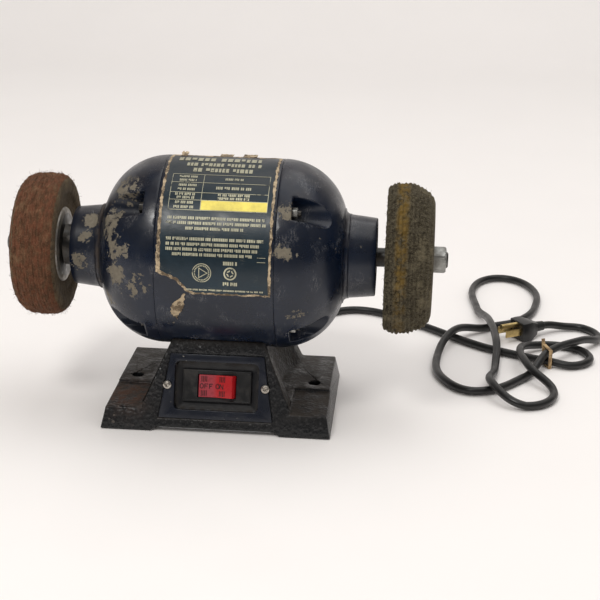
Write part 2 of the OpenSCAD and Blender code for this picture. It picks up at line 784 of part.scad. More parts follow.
module left_inner_flange() inner_flange(false);
module left_outer_flange() outer_flange(false);
module left_nut() arbor_nut(false);
module right_inner_flange() inner_flange(true);
module right_outer_flange() outer_flange(true);
module right_nut() arbor_nut(true);

// ---- Inside the base ----

module capacitor() color([0.75, 0.75, 0.7]) translate([-cap_len / 2, cap_y, cap_z]) rotate([0, 90, 0]) {
    cylinder(r = cap_r, h = cap_len);
    for (s = [-1, 1]) translate([-3.1, s * 5 - 0.4, cap_len - 0.1]) cube([6.2, 0.8, 6.1]);
}

// A strap over the capacitor, screwed to the cover
module capacitor_clip() color([0.6, 0.6, 0.6]) difference() {
    translate([-5, cap_y, arch_h + 0.05]) {
        translate([0, 0, cap_z - arch_h - 0.05]) rotate([0, 90, 0]) linear_extrude(10) difference() {
            circle(cap_r + 1.1);
            circle(cap_r + 0.1);
            translate([0, -cap_r - 5]) square(2 * cap_r + 10);
        }
        for (s = [0, 1]) mirror([0, s, 0]) {
            translate([0, cap_r + 0.1, 0]) cube([10, 1, cap_z - arch_h]);
            translate([0, cap_r + 0.1, 0]) cube([10, 9, 1]);
        }
    }
    at_clip_screws() cylinder(r = 1.3, h = 10, center = true);
}

module at_clip_screws() {
    for (s = [-1, 1]) translate([0, cap_y + s * (cap_r + 6), arch_h + 1.05]) children();
}

module clip_screws() color([0.55, 0.55, 0.56]) at_clip_screws() pan_screw(2.4, 1.6, 1.2, 2);

// ---- Cord ----

module strain_relief() color([0.04, 0.04, 0.04])
    translate([relief_x, front(relief_z), relief_z]) rotate([-90, 0, 0]) rotate_extrude() {
        inner = -cast_wall - relief_lip * tan(lean) - gap;
        outer = relief_flange * tan(lean) + gap;
        polygon([
            [0, inner - 4], [relief_lip, inner - 4], [relief_lip, inner], [relief_r, inner],
            [relief_r, outer], [relief_flange, outer], [relief_flange, outer + 3.4], [relief_r, outer + 4],
            for (i = [0:3]) each [
                [5.7 - i * 0.3, 9 + i * 5], [5.7 - i * 0.3, 12 + i * 5],
                [4.7 - i * 0.1, 12 + i * 5], [4.7 - i * 0.1, 14 + i * 5]
            ],
            [cord_d / 2 + 0.9, relief_len], [0, relief_len]
        ]);
    }

function unit(v) = v / norm(v);
// The route's direction at point i; it leaves the strain relief and meets the plug squarely
function heading(p, i) =
    i == 0 ? [0, 1, 0]
    : i == len(p) - 1 ? [cos(plug_turn), sin(plug_turn), 0]
    : unit(p[i + 1] - p[i - 1]);
// A point on the smooth curve from point i to the next, t of the way along
function on_route(p, i, t) =
    let (reach = norm(p[i + 1] - p[i]) * 0.37)
    let (a = p[i], b = p[i] + heading(p, i) * reach)
    let (c = p[i + 1] - heading(p, i + 1) * reach, d = p[i + 1])
    let (s = 1 - t)
    let (q = s * s * s * a + 3 * s * s * t * b + 3 * s * t * t * c + t * t * t * d)
    [q[0], q[1], max(q[2], cord_d / 2)];
// Ring centres about one step apart along the whole route
function ring_centres(p) = concat(
    [for (i = [0:len(p) - 2])
        let (n = max(1, round(norm(p[i + 1] - p[i]) / ring_step)))
        for (k = [0:n - 1]) on_route(p, i, k / n)],
    [p[len(p) - 1]]
);
// The points of a ring round centre c, square to direction d
function ring_points(c, d) =
    let (side = unit(cross(d, [0, 0, 1])), rise = cross(side, d))
    [for (k = [0:cord_sides - 1])
        let (a = 360 * (k + 0.5) / cord_sides)
        c + cord_d / 2 * (cos(a) * side + sin(a) * rise)];

module power_cord() color([0.05, 0.05, 0.05]) {
    c = ring_centres(cord_route);
    n = len(c);
    m = cord_sides;
    points = [for (i = [0:n - 1]) each ring_points(c[i], heading(c, i))];
    sides = [for (i = [0:n - 2], k = [0:m - 1]) each [
        [i * m + k, (i + 1) * m + k, (i + 1) * m + (k + 1) % m],
        [i * m + k, (i + 1) * m + (k + 1) % m, i * m + (k + 1) % m]
    ]];
    near_end = [[for (k = [0:m - 1]) k]];
    far_end = [[for (k = [m - 1:-1:0]) (n - 1) * m + k]];
    polyhedron(points = points, faces = concat(sides, near_end, far_end));
}

// A loop round both strands with its twisted ends standing up
module cord_tie() color([0.75, 0.65, 0.45]) translate(tie_at) rotate(tie_turn)
    translate([-tie_w / 2, 0, 0]) rotate([90, 0, 90]) linear_extrude(tie_w) {
        difference() {
            translate([0, tie_z]) square([tie_in_w + 2 * tie_t, tie_in_h + 2 * tie_t], center = true);
            translate([0, tie_z]) square([tie_in_w, tie_in_h], center = true);
        }
        polygon([
            [tie_in_w / 2, 9], [tie_in_w / 2 + tie_t, 9], [tie_in_w / 2 + 5, 21], [tie_in_w / 2 + 4.2, 21.3]
        ]);
    }

module plug_body() color([0.05, 0.05, 0.05]) translate(plug_at) rotate(plug_turn) difference() {
    union() {
        hull() {
            translate([12, 0, 0]) cube([4, 12, 11], center = true);
            translate([22, 0, 0]) cube([4, plug_w, plug_t], center = true);
            translate([plug_len - 1, 0, 0]) cube([2, plug_w - 1, plug_t - 0.6], center = true);
        }
        rotate([0, 90, 0]) cylinder(r1 = cord_d / 2 + 0.8, r2 = 5.2, h = 12);
    }
    for (y = [-1, 1]) translate([plug_len - 6, y * 6.35 - 0.8, -3.2]) cube([10, 1.6, 6.4]);
    translate([plug_len - 6, 0, 5.4]) rotate([0, 90, 0]) cylinder(r = 2.42, h = 10);
}

module plug_blades() color([0.8, 0.7, 0.45]) translate(plug_at) rotate(plug_turn) {
    for (y = [-1, 1]) translate([plug_len - 5.9, y * 6.35 - 0.75, -3.15]) cube([blade_len + 5.9, 1.5, 6.3]);
    translate([plug_len - 5.9, 0, 5.4]) rotate([0, 90, 0]) cylinder(r = 2.4, h = blade_len + 7.5);
}

base();
base_cover();
cover_screws();
housing_bolts();
switch_plate();
plate_screws();
switch_body();
switch_rocker();
switch_terminals();
stator_shell();
left_end_bell();
right_end_bell();
through_bolts();
through_bolt_nuts();
label();
stator_core();
stator_windings();
rotor_core();
rotor_cage();
shaft();
left_outer_race();
left_ball_set();
left_inner_race();
right_outer_race();
right_ball_set();
right_inner_race();
wave_spring();
left_inner_flange();
left_wheel();
left_outer_flange();
left_nut();
right_inner_flange();
right_wheel();
right_outer_flange();
right_nut();
capacitor();
capacitor_clip();
clip_screws();
strain_relief();
power_cord();
cord_tie();
plug_body();
plug_blades();
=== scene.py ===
"""Bench grinder with two buffing wheels: its detailed pieces, finishes, stage and camera.

The file is laid out as an add-on and runs as a script. One operator makes each piece or group of
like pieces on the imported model, and main() calls them in order.
"""

import json
import math
import random

import bpy
from mathutils import Matrix, Vector, noise


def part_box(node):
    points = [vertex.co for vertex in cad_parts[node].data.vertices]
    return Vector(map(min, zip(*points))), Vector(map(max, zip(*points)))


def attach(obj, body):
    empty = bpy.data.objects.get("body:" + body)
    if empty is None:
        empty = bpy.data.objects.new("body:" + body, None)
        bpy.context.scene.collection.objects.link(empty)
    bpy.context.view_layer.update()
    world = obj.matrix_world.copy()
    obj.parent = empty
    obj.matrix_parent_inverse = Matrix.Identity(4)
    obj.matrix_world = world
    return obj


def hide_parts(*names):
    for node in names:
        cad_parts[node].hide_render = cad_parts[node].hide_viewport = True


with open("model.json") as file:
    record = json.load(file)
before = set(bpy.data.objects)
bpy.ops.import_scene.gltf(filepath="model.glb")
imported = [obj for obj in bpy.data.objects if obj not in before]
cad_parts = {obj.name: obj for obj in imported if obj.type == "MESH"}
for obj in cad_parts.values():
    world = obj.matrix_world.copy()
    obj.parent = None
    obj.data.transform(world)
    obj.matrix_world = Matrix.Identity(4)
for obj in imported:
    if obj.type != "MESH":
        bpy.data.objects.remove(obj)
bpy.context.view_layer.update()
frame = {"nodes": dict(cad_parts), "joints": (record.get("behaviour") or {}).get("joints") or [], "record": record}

bl_info = {
    "name": "Bench Grinder",
    "version": (1, 0, 0),
    "blender": (4, 5, 0),
    "location": "3D View > Sidebar > Grinder",
    "description": "Makes the detailed pieces, finishes and stage of a bench grinder",
    "category": "Object",
}

NODES = frame["nodes"]
MM = 0.001

# The shaft's height and the shell's radius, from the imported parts
SHAFT_LOW, SHAFT_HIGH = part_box("shaft")
AXIS_Z = (SHAFT_LOW.z + SHAFT_HIGH.z) / 2
BODY_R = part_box("stator_shell")[1].y
CENTRE = Vector((0, 0, AXIS_Z))

# The corner between a bell's dome and its collar, from the middle of the machine
COLLAR_LONG = 0.0232
COLLAR_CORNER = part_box("right_end_bell")[1].x - COLLAR_LONG


# ---- Sizes and colours that a user would change ----


def colour(name, description, default):
    return bpy.props.FloatVectorProperty(
        name=name, description=description, default=default, size=3, min=0, max=1, subtype="COLOR"
    )


def amount(name, description, default, low=0, **more):
    return bpy.props.FloatProperty(name=name, description=description, default=default, min=low, **more)


def length(name, description, default):
    return amount(name, description, default, unit="LENGTH", precision=4)


def count(name, description, default, low, high):
    return bpy.props.IntProperty(name=name, description=description, default=default, min=low, max=high)


class GrinderPaint(bpy.types.PropertyGroup):
    housing: colour("Housing", "Paint of the motor housing", (0.0024, 0.0062, 0.0165))
    plate: colour("Switch Plate", "Paint of the switch plate", (0.0045, 0.0065, 0.013))
    base: colour("Base", "Textured paint of the cast base", (0.0038, 0.0042, 0.0052))
    chips: colour("Chips", "Filler that shows where the paint is scuffed through", (0.17, 0.147, 0.108))
    dust: colour("Dust", "Dust that settles on the ledges", (0.05, 0.037, 0.027))
    rust: colour("Rust", "Rust on the foot and in the seams", (0.085, 0.036, 0.018))
    edge_round: length("Edge Rounding", "Width of the rounding on cast edges", 0.0011)


class GrinderWheels(bpy.types.PropertyGroup):
    left_colour: colour("Left Wheel", "Cotton of the left wheel", (0.13, 0.046, 0.024))
    right_colour: colour("Right Wheel", "Cotton of the right wheel", (0.066, 0.056, 0.036))
    compound: colour("Compound", "Polishing compound caked in the right wheel", (0.17, 0.105, 0.022))
    left_layers: count("Left Layers", "Layers that show in the left tread", 15, 4, 40)
    right_layers: count("Right Layers", "Layers that show in the right tread", 12, 4, 40)
    steps: count("Steps", "Steps of each wheel round its axis", 320, 64, 512)
    threads: count("Threads", "Loose threads on each wheel", 1500, 0, 2000)


class GrinderLabel(bpy.types.PropertyGroup):
    film: colour("Film", "Printed film", (0.0035, 0.0145, 0.024))
    print_colour: colour("Print", "Bars and lines on the film", (0.36, 0.35, 0.25))
    strip: colour("Strip", "Blank strip in the table", (0.62, 0.52, 0.1))
    paper: colour("Paper", "Torn backing paper", (0.42, 0.33, 0.215))
    low: amount("Lower Edge", "How far it lies below the shell's front", math.radians(9.5), unit="ROTATION")
    high: amount("Upper Edge", "How far it lies above the shell's front", math.radians(98), unit="ROTATION")


class GrinderSwitch(bpy.types.PropertyGroup):
    rocker: colour("Rocker", "Plastic of the rocker", (0.42, 0.008, 0.012))
    bezel: colour("Bezel", "Plastic of the bezel", (0.0065, 0.0068, 0.0075))
    marks: colour("Marks", "Printed marks on the rocker", (0.03, 0.004, 0.006))


class GrinderCord(bpy.types.PropertyGroup):
    diameter: length("Diameter", "Diameter of the cord", 0.007)
    rubber: colour("Rubber", "Rubber of the cord, plug and strain relief", (0.0065, 0.0065, 0.0068))


class GrinderStage(bpy.types.PropertyGroup):
    floor: colour("Floor", "The pale floor and backdrop", (0.93, 0.905, 0.89))
    key_power: amount("Key Power", "Power of the main soft light", 17, unit="POWER")
    fill_power: amount("Fill Power", "Power of the wide light overhead", 19, unit="POWER")
    ambient: amount("Ambient", "Light that comes from all round", 0.6, max=4)
    reflections: amount("Reflections", "Brightness of the surroundings in reflections", 0.14, max=4)
    lens: amount("Lens", "Focal length on a 36 mm sensor", 85.26, low=1, unit="CAMERA")


def setting(group, name):
    """A user's value, as a plain number or a list."""
    value = getattr(getattr(bpy.context.scene, group), name)
    return value if isinstance(value, (int, float)) else list(value)


def scaled(tint, by):
    """A colour made brighter or darker."""
    return [c * by for c in tint]


def paint_of(name, by=1.0):
    """A colour of the machine's paint or dirt, as chosen or made brighter or darker."""
    return scaled(setting("grinder_paint", name), by)


# ---- Modelling ----


def clear_selection():
    if bpy.context.object and bpy.context.object.mode != "OBJECT":
        bpy.ops.object.mode_set(mode="OBJECT")
    bpy.ops.object.select_all(action="DESELECT")


def take_up(piece):
    """Makes a piece the only selected and active object."""
    clear_selection()
    piece.select_set(True)
    bpy.context.view_layer.objects.active = piece
    return piece


def edit(piece, select="SELECT", mode="VERT"):
    """Goes into edit mode on a piece with all or nothing selected."""
    take_up(piece)
    bpy.ops.object.mode_set(mode="EDIT")
    bpy.ops.mesh.select_mode(type=mode)
    bpy.ops.mesh.select_all(action=select)


def leave_edit():
    bpy.ops.object.mode_set(mode="OBJECT")


def apply_modifier(piece, kind, **values):
    """Adds a modifier with its values and applies it."""
    take_up(piece)
    made = piece.modifiers.new(kind.title(), kind)
    for name, value in values.items():
        setattr(made, name, value)
    bpy.ops.object.modifier_apply(modifier=made.name)


def smooth(piece, degrees):
    take_up(piece)
    bpy.ops.object.shade_smooth_by_angle(angle=math.radians(degrees))


def settle(piece):
    """Puts the piece's place into its mesh and its object at the origin."""
    take_up(piece)
    bpy.ops.object.transform_apply(location=True, rotation=True, scale=True)


def placed(name, data):
    """A new object in the scene that holds some data."""
    made = bpy.data.objects.new(name, data)
    bpy.context.scene.collection.objects.link(made)
    return made


def merged_copy(node, name):
    """A CAD node's mesh as a new piece, its loose triangles merged into clean faces."""
    made = placed(name, NODES[node].data.copy())
    made.data.materials.clear()
    edit(made)
    bpy.ops.mesh.remove_doubles(threshold=2e-6)
    bpy.ops.mesh.tris_convert_to_quads(face_threshold=math.radians(0.5), shape_threshold=math.pi)
    leave_edit()
    return made


def pull_in(piece, shape, reach):
    """Brings points that the rounding threw clear of a shape back onto its surface."""
    for point in piece.data.vertices:
        found, place = shape.closest_point_on_mesh(point.co)[:2]
        if found and (place - point.co).length > reach:
            point.co = place


def rounded_copy(node, name, width):
    """A CAD node's shape with the rounding that its real edges have."""
    made = merged_copy(node, name)
    if width:
        apply_modifier(
            made, "BEVEL", width=width, segments=2, limit_method="ANGLE", angle_limit=math.radians(32),
            use_clamp_overlap=False, harden_normals=False, miter_outer="MITER_ARC",
        )
        pull_in(made, NODES[node], width * 0.6)
    edit(made)
    bpy.ops.mesh.remove_doubles(threshold=2e-6)
    leave_edit()
    smooth(made, 38)
    return made


def hand_over(piece, body, slot, material, *replaced):
    """Gives a finished piece its body, its finish and the CAD nodes that it stands for."""
    if material is not None and not piece.data.materials:
        piece.data.materials.append(material)
    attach(piece, body)
    if replaced:
        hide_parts(*replaced)
    return piece


def new_piece(name, points, faces, edges=()):
    """A mesh piece from points in metres, faces and loose edges."""
    data = bpy.data.meshes.new(name)
    data.from_pydata([tuple(p) for p in points], list(edges), faces)
    data.update()
    return placed(name, data)


def outward(piece, merge=2e-6):
    """Merges doubles and turns every face outwards."""
    edit(piece)
    bpy.ops.mesh.remove_doubles(threshold=merge)
    bpy.ops.mesh.normals_make_consistent(inside=False)
    leave_edit()


# ---- Shader trees ----


class Wiring:
    """A node tree with short calls that add nodes and link them."""

    def __init__(self, tree):
        self.tree = tree

    def add(self, kind, inputs=None, **settings):
        made = self.tree.nodes.new(kind if kind.startswith("Node") else "ShaderNode" + kind)
        for name, value in settings.items():
            setattr(made, name, value)
        for key, value in (inputs or {}).items():
            if isinstance(value, bpy.types.NodeSocket):
                self.tree.links.new(value, made.inputs[key])
            else:
                made.inputs[key].default_value = value
        return made

    def maths(self, operation, a, b=0.5, c=0.5, clamp=False):
        return self.add("Math", {0: a, 1: b, 2: c}, operation=operation, use_clamp=clamp).outputs[0]

    def plus(self, a, b, clamp=False):
        return self.maths("ADD", a, b, clamp=clamp)

    def minus(self, a, b):
        return self.maths("SUBTRACT", a, b)

    def times(self, a, b, clamp=False):
        return self.maths("MULTIPLY", a, b, clamp=clamp)

    def most(self, a, b):
        return self.maths("MAXIMUM", a, b)

    def absolute(self, a):
        return self.maths("ABSOLUTE", a)

    def vector(self, operation, a, b=(0, 0, 0), scale=None):
        made = self.add("VectorMath", {0: a, 1: b}, operation=operation)
        if scale is not None:
            self.put(made, "Scale", scale)
        return made.outputs["Value" if operation in ("LENGTH", "DISTANCE", "DOT_PRODUCT") else "Vector"]

    def put(self, made, key, value):
        if isinstance(value, bpy.types.NodeSocket):
            self.tree.links.new(value, made.inputs[key])
        else:
            made.inputs[key].default_value = value

    def mix(self, factor, a, b):
        def rgba(value):
            plain = isinstance(value, (list, tuple)) and len(value) == 3
            return (*value, 1) if plain else value

        made = self.add("Mix", data_type="RGBA")
        for key, value in ((0, factor), (6, rgba(a)), (7, rgba(b))):
            self.put(made, key, value)
        return made.outputs[2]

    def remap(self, value, low, high, to_low=0.0, to_high=1.0):
        made = self.add(
            "MapRange",
            {"Value": value, "From Min": low, "From Max": high, "To Min": to_low, "To Max": to_high},
            interpolation_type="SMOOTHSTEP",
        )
        return made.outputs["Result"]

    def noise(self, vector, scale, detail=3.0, roughness=0.55, distortion=0.0):
        return self.add(
            "TexNoise",
            {"Vector": vector, "Scale": scale, "Detail": detail, "Roughness": roughness,
             "Distortion": distortion},
        ).outputs["Fac"]

    def cells(self, vector, scale):
        made = self.add("TexVoronoi", {"Vector": vector, "Scale": scale}, feature="SMOOTH_F1")
        return made.outputs["Distance"]

    def split(self, vector):
        return self.add("SeparateXYZ", {0: vector}).outputs

    def join(self, x, y, z):
        return self.add("CombineXYZ", {0: x, 1: y, 2: z}).outputs[0]

    def bump(self, height, distance, strength):
        made = self.add("Bump", {"Height": height, "Distance": distance, "Strength": strength})
        return made.outputs["Normal"]

    def group(self, name, **inputs):
        made = self.tree.nodes.new("ShaderNodeGroup")
        made.node_tree = bpy.data.node_groups[name]
        for key, value in inputs.items():
            self.put(made, key.replace("_", " "), value)
        return made.outputs


def effect(name, inputs, outputs):
    """A shader node group with named sockets, and its wiring, input and output nodes."""
    tree = bpy.data.node_groups.new(name, "ShaderNodeTree")
    for key, kind, default in inputs:
        made = tree.interface.new_socket(key, in_out="INPUT", socket_type="NodeSocket" + kind)
        made.default_value = default
    for key, kind in outputs:
        tree.interface.new_socket(key, in_out="OUTPUT", socket_type="NodeSocket" + kind)
    w = Wiring(tree)
    return w, w.add("NodeGroupInput").outputs, w.add("NodeGroupOutput")


def make_round_the_shaft():
    """Turns, radius and distance along the shaft of a point in the frame."""
    w, given, out = effect(
        "Round the Shaft",
        [("Vector", "Vector", (0, 0, 0))],
        [("Turns", "Float"), ("Radius", "Float"), ("Along", "Float"), ("Unrolled", "Vector")],
    )
    x, y, z = w.split(w.vector("SUBTRACT", given["Vector"], tuple(CENTRE)))
    turn = w.maths("ARCTAN2", z, y)
    radius = w.vector("LENGTH", w.join(0.0, y, z))
    w.put(out, "Turns", turn)
    w.put(out, "Radius", radius)
    w.put(out, "Along", x)
    # The angle is given as a point on a circle, so that a pattern has no seam
    w.put(out, "Unrolled", w.join(x, w.maths("COSINE", turn), w.maths("SINE", turn)))


def make_wear_spot():
    """1 at the middle of a worn place and 0 outside its radius."""
    w, given, out = effect(
        "Wear Spot",
        [("Vector", "Vector", (0, 0, 0)), ("Centre", "Vector", (0, 0, 0)), ("Radius", "Float", 0.02)],
        [("Mask", "Float")],
    )
    away = w.maths("DIVIDE", w.vector("DISTANCE", given["Vector"], given["Centre"]), given["Radius"])
    w.put(out, "Mask", w.remap(away, 1.0, 0.15))


def make_chipped_paint():
    """1 where paint has come off. Amount runs from 0, sound, to 1, mostly gone."""
    w, given, out = effect(
        "Chipped Paint",
        [("Vector", "Vector", (0, 0, 0)), ("Amount", "Float", 0.3), ("Size", "Float", 120.0)],
        [("Mask", "Float")],
    )
    broad = w.noise(given["Vector"], given["Size"], 6.0, 0.62, 0.35)
    fine = w.noise(given["Vector"], w.times(given["Size"], 4.5), 3.0, 0.6)
    both = w.plus(w.times(broad, 0.8), w.times(fine, 0.2))
    level = w.minus(0.7, w.times(given["Amount"], 0.26))
    w.put(out, "Mask", w.remap(w.minus(both, level), 0.0, 0.012))


def make_scratches():
    """Thin marks that run mostly one way. Stretch sets which way."""
    w, given, out = effect(
        "Scratches",
        [("Vector", "Vector", (0, 0, 0)), ("Stretch", "Vector", (60, 300, 300)), ("Amount", "Float", 0.5)],
        [("Mask", "Float")],
    )
    bent = w.vector("ADD", given["Vector"], w.vector(
        "SCALE", w.add("TexNoise", {"Vector": given["Vector"], "Scale": 30.0}).outputs["Color"],
        scale=0.004))
    lines = w.add("TexNoise", {"Vector": w.vector("MULTIPLY", bent, given["Stretch"]), "Scale": 1.0,
                               "Detail": 4.0, "Roughness": 0.6}).outputs["Fac"]
    ridge = w.absolute(w.minus(lines, 0.5))
    thin = w.remap(ridge, w.times(given["Amount"], 0.022), 0.0)
    where = w.remap(w.noise(given["Vector"], 55.0, 2.0), 0.52, 0.68)
    w.put(out, "Mask", w.times(thin, where))


def make_settled_dust():
    """Dust on what faces up, broken up by a noise."""
    w, given, out = effect(
        "Settled Dust",
        [("Vector", "Vector", (0, 0, 0)), ("Amount", "Float", 0.5), ("Size", "Float", 90.0)],
        [("Mask", "Float")],
    )
    up = w.split(w.add("NewGeometry").outputs["Normal"])["Z"]
    patch = w.noise(given["Vector"], given["Size"], 5.0, 0.65)
    lies = w.remap(up, 0.2, 0.95)
    w.put(out, "Mask", w.times(w.times(lies, w.remap(patch, 0.3, 0.62)), given["Amount"], clamp=True))


def make_cast_skin():
    """Height of a hammered or cast surface."""
    w, given, out = effect(
        "Cast Skin",
        [("Vector", "Vector", (0, 0, 0)), ("Size", "Float", 400.0)],
        [("Height", "Float"), ("Grain", "Float")],
    )
    broad = w.noise(given["Vector"], w.times(given["Size"], 0.33), 2.0, 0.5)
    pebble = w.cells(given["Vector"], given["Size"])
    fine = w.noise(given["Vector"], w.times(given["Size"], 3.2), 2.0, 0.5)
    w.put(out, "Height", w.plus(w.plus(broad, w.times(pebble, 0.9)), w.times(fine, 0.18)))
    w.put(out, "Grain", fine)


def make_turned_marks():
    """Fine rings that a lathe leaves, centred on the shaft."""
    w, given, out = effect(
        "Turned Marks",
        [("Vector", "Vector", (0, 0, 0)), ("Pitch", "Float", 3000.0)],
        [("Height", "Float")],
    )
    made = w.group("Round the Shaft", Vector=given["Vector"])
    lines = w.join(w.times(made["Radius"], given["Pitch"]), w.times(made["Along"], given["Pitch"]), 0.0)
    w.put(out, "Height", w.noise(lines, 1.0, 2.0, 0.5))


def make_cotton():
    """Colour variation and fuzz of a buffing wheel's layers."""
    w, given, out = effect(
        "Cotton",
        [("Vector", "Vector", (0, 0, 0)), ("Across", "Float", 500.0), ("Round", "Float", 14.0)],
        [("Streak", "Float"), ("Patch", "Float"), ("Fuzz", "Float")],
    )
    made = w.group("Round the Shaft", Vector=given["Vector"])
    x, c, s = w.split(made["Unrolled"])
    round_it = w.join(w.times(x, given["Across"]), w.times(c, given["Round"]),
                      w.times(s, given["Round"]))
    w.put(out, "Streak", w.noise(round_it, 1.0, 4.0, 0.6))
    w.put(out, "Patch", w.noise(given["Vector"], 70.0, 5.0, 0.65))
    fibre = w.noise(w.vector("MULTIPLY", given["Vector"], (1500, 2300, 2300)), 1.0, 3.0, 0.7, 0.4)
    w.put(out, "Fuzz", fibre)


EFFECTS = (
    make_round_the_shaft, make_wear_spot, make_chipped_paint, make_scratches, make_settled_dust,
    make_cast_skin, make_turned_marks, make_cotton,
)


# ---- The leaning front of the base ----

ROCKER_JOINT = next(j for j in frame["joints"] if j["name"] == "rocker_tilt")
FACE_UP = Vector(ROCKER_JOINT["axis"]).normalized()
FACE_OUT = Vector((1, 0, 0)).cross(FACE_UP)
FACE_FOOT = Vector((0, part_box("base")[0].y, 0))
SWITCH_V = (Vector(ROCKER_JOINT["pos_m"]) - FACE_FOOT).dot(FACE_UP)
SWITCH_PIVOT_OUT = (Vector(ROCKER_JOINT["pos_m"]) - FACE_FOOT).dot(FACE_OUT)
FOOT_TOP = next(m for m in frame["record"]["mounts"] if m["name"] == "base_holes")["pos_m"][2]


def face_point(across, up, out):
    """A point given across the leaning face, up along it and out of it, in metres."""
    return FACE_FOOT + Vector((across, 0, 0)) + FACE_UP * up + FACE_OUT * out


def drop_onto(piece, node, start, way, lift):
    """Moves each corner of a piece along a direction until it lies on a CAD node's surface."""
    way = Vector(way).normalized()
    for corner in piece.data.vertices:
        height = (corner.co - Vector(start)).dot(way)
        found, place = NODES[node].ray_cast(corner.co - way * height, way)[:2]
        if not found:
            raise RuntimeError(f"{piece.name} isn't over {node}")
        corner.co = place - way * (lift - height)
    piece.data.update()


# ---- Finishes ----


def new_finish(name):
    """An empty material: its wiring, its Object coordinates and its shader."""
    made = bpy.data.materials.new(name)
    made.use_nodes = True
    made.node_tree.nodes.clear()
    w = Wiring(made.node_tree)
    shader = w.add("BsdfPrincipled")
    w.put(w.add("OutputMaterial"), "Surface", shader.outputs[0])
    return made, w, w.add("TexCoord").outputs["Object"], shader


def set_constants(shader, **values):
    for key, value in values.items():
        shader.inputs[key.replace("_", " ")].default_value = value


# Where the housing is scuffed most: a point and a radius in metres, and how much paint is gone
HOUSING_WEAR = (
    ((-0.0830, -0.0480, 0.1600), 0.022, 0.86),
    ((-0.0773, -0.0609, 0.1441), 0.017, 0.84),
    ((-0.0693, -0.0658, 0.1467), 0.012, 0.8),
    ((-0.0755, -0.0642, 0.1254), 0.017, 1.0),
    ((-0.0579, -0.0724, 0.1209), 0.020, 0.62),
    ((-0.0722, -0.0323, 0.1868), 0.026, 0.68),
    ((-0.1050, -0.0182, 0.1553), 0.013, 0.9),
    ((-0.1062, -0.0281, 0.1443), 0.010, 0.8),
    ((-0.1116, -0.0314, 0.1247), 0.015, 0.85),
    ((-0.0840, -0.0500, 0.1020), 0.018, 0.6),
    ((0.0520, -0.0543, 0.1789), 0.015, 0.7),
    ((0.0532, -0.0705, 0.1504), 0.014, 0.72),
    ((0.0620, -0.0640, 0.1000), 0.016, 0.5),
)


def housing_finish():
    """Semi-gloss dark blue paint, scuffed to its filler, with grime in the corners."""
    made, w, at, shader = new_finish("housing_paint")
    worn = 0.0
    for centre, radius, amount in HOUSING_WEAR:
        spot = w.group("Wear Spot", Vector=at, Centre=centre, Radius=radius)["Mask"]
        worn = w.most(worn, w.times(spot, amount))
    amount = w.plus(worn, 0.12)
    chips = w.group("Chipped Paint", Vector=at, Amount=amount, Size=150.0)
    specks = w.group("Chipped Paint", Vector=at, Amount=w.times(worn, 0.9), Size=330.0)
    fine = w.group("Scratches", Vector=at, Stretch=(700, 90, 120), Amount=0.7)["Mask"]
    tall = w.group("Scratches", Vector=at, Stretch=(160, 900, 60), Amount=0.5)["Mask"]
    bare = w.most(chips["Mask"], w.times(specks["Mask"], 0.85))
    cloud = w.noise(at, 26.0, 4.0, 0.6)
    paint = w.mix(w.remap(cloud, 0.35, 0.7), paint_of("housing"), paint_of("housing", 1.45))
    # Grime rings where the collars meet the domes, and a film of dust above
    x = w.split(at)["X"]
    ring = w.minus(w.absolute(x), COLLAR_CORNER)
    grime = w.times(w.remap(w.absolute(ring), 0.0042, 0.0), w.remap(w.noise(at, 120.0, 4.0), 0.3, 0.6))
    left = w.remap(x, 0.0, -0.08, 0.25, 1.0)
    grime = w.times(grime, left)
    dust = w.group("Settled Dust", Vector=at, Amount=0.2, Size=60.0)["Mask"]
    tone = w.mix(w.times(w.noise(at, 420.0, 2.0), 0.8), paint_of("chips", 1.25), paint_of("chips", 0.45))
    paint = w.mix(dust, paint, paint_of("dust"))
    paint = w.mix(w.times(fine, 0.6), paint, (0.24, 0.24, 0.25))
    paint = w.mix(w.times(tall, 0.5), paint, (0.24, 0.23, 0.22))
    paint = w.mix(w.times(grime, 0.85), paint, paint_of("dust", 1.1))
    w.put(shader, "Base Color", w.mix(bare, paint, tone))
    skin = w.group("Cast Skin", Vector=at, Size=650.0)
    rough = w.plus(w.remap(w.noise(at, 45.0, 5.0, 0.65), 0.3, 0.75, 0.2, 0.38),
                   w.times(skin["Grain"], 0.06))
    rough = w.plus(rough, w.times(w.most(bare, grime), 0.4), clamp=True)
    w.put(shader, "Roughness", rough)
    height = w.minus(w.times(skin["Height"], 0.2), w.times(bare, 0.9))
    w.put(shader, "Normal", w.bump(height, 0.00012, 0.75))
    set_constants(shader, Specular_IOR_Level=0.5, Coat_Weight=0.0)
    return made


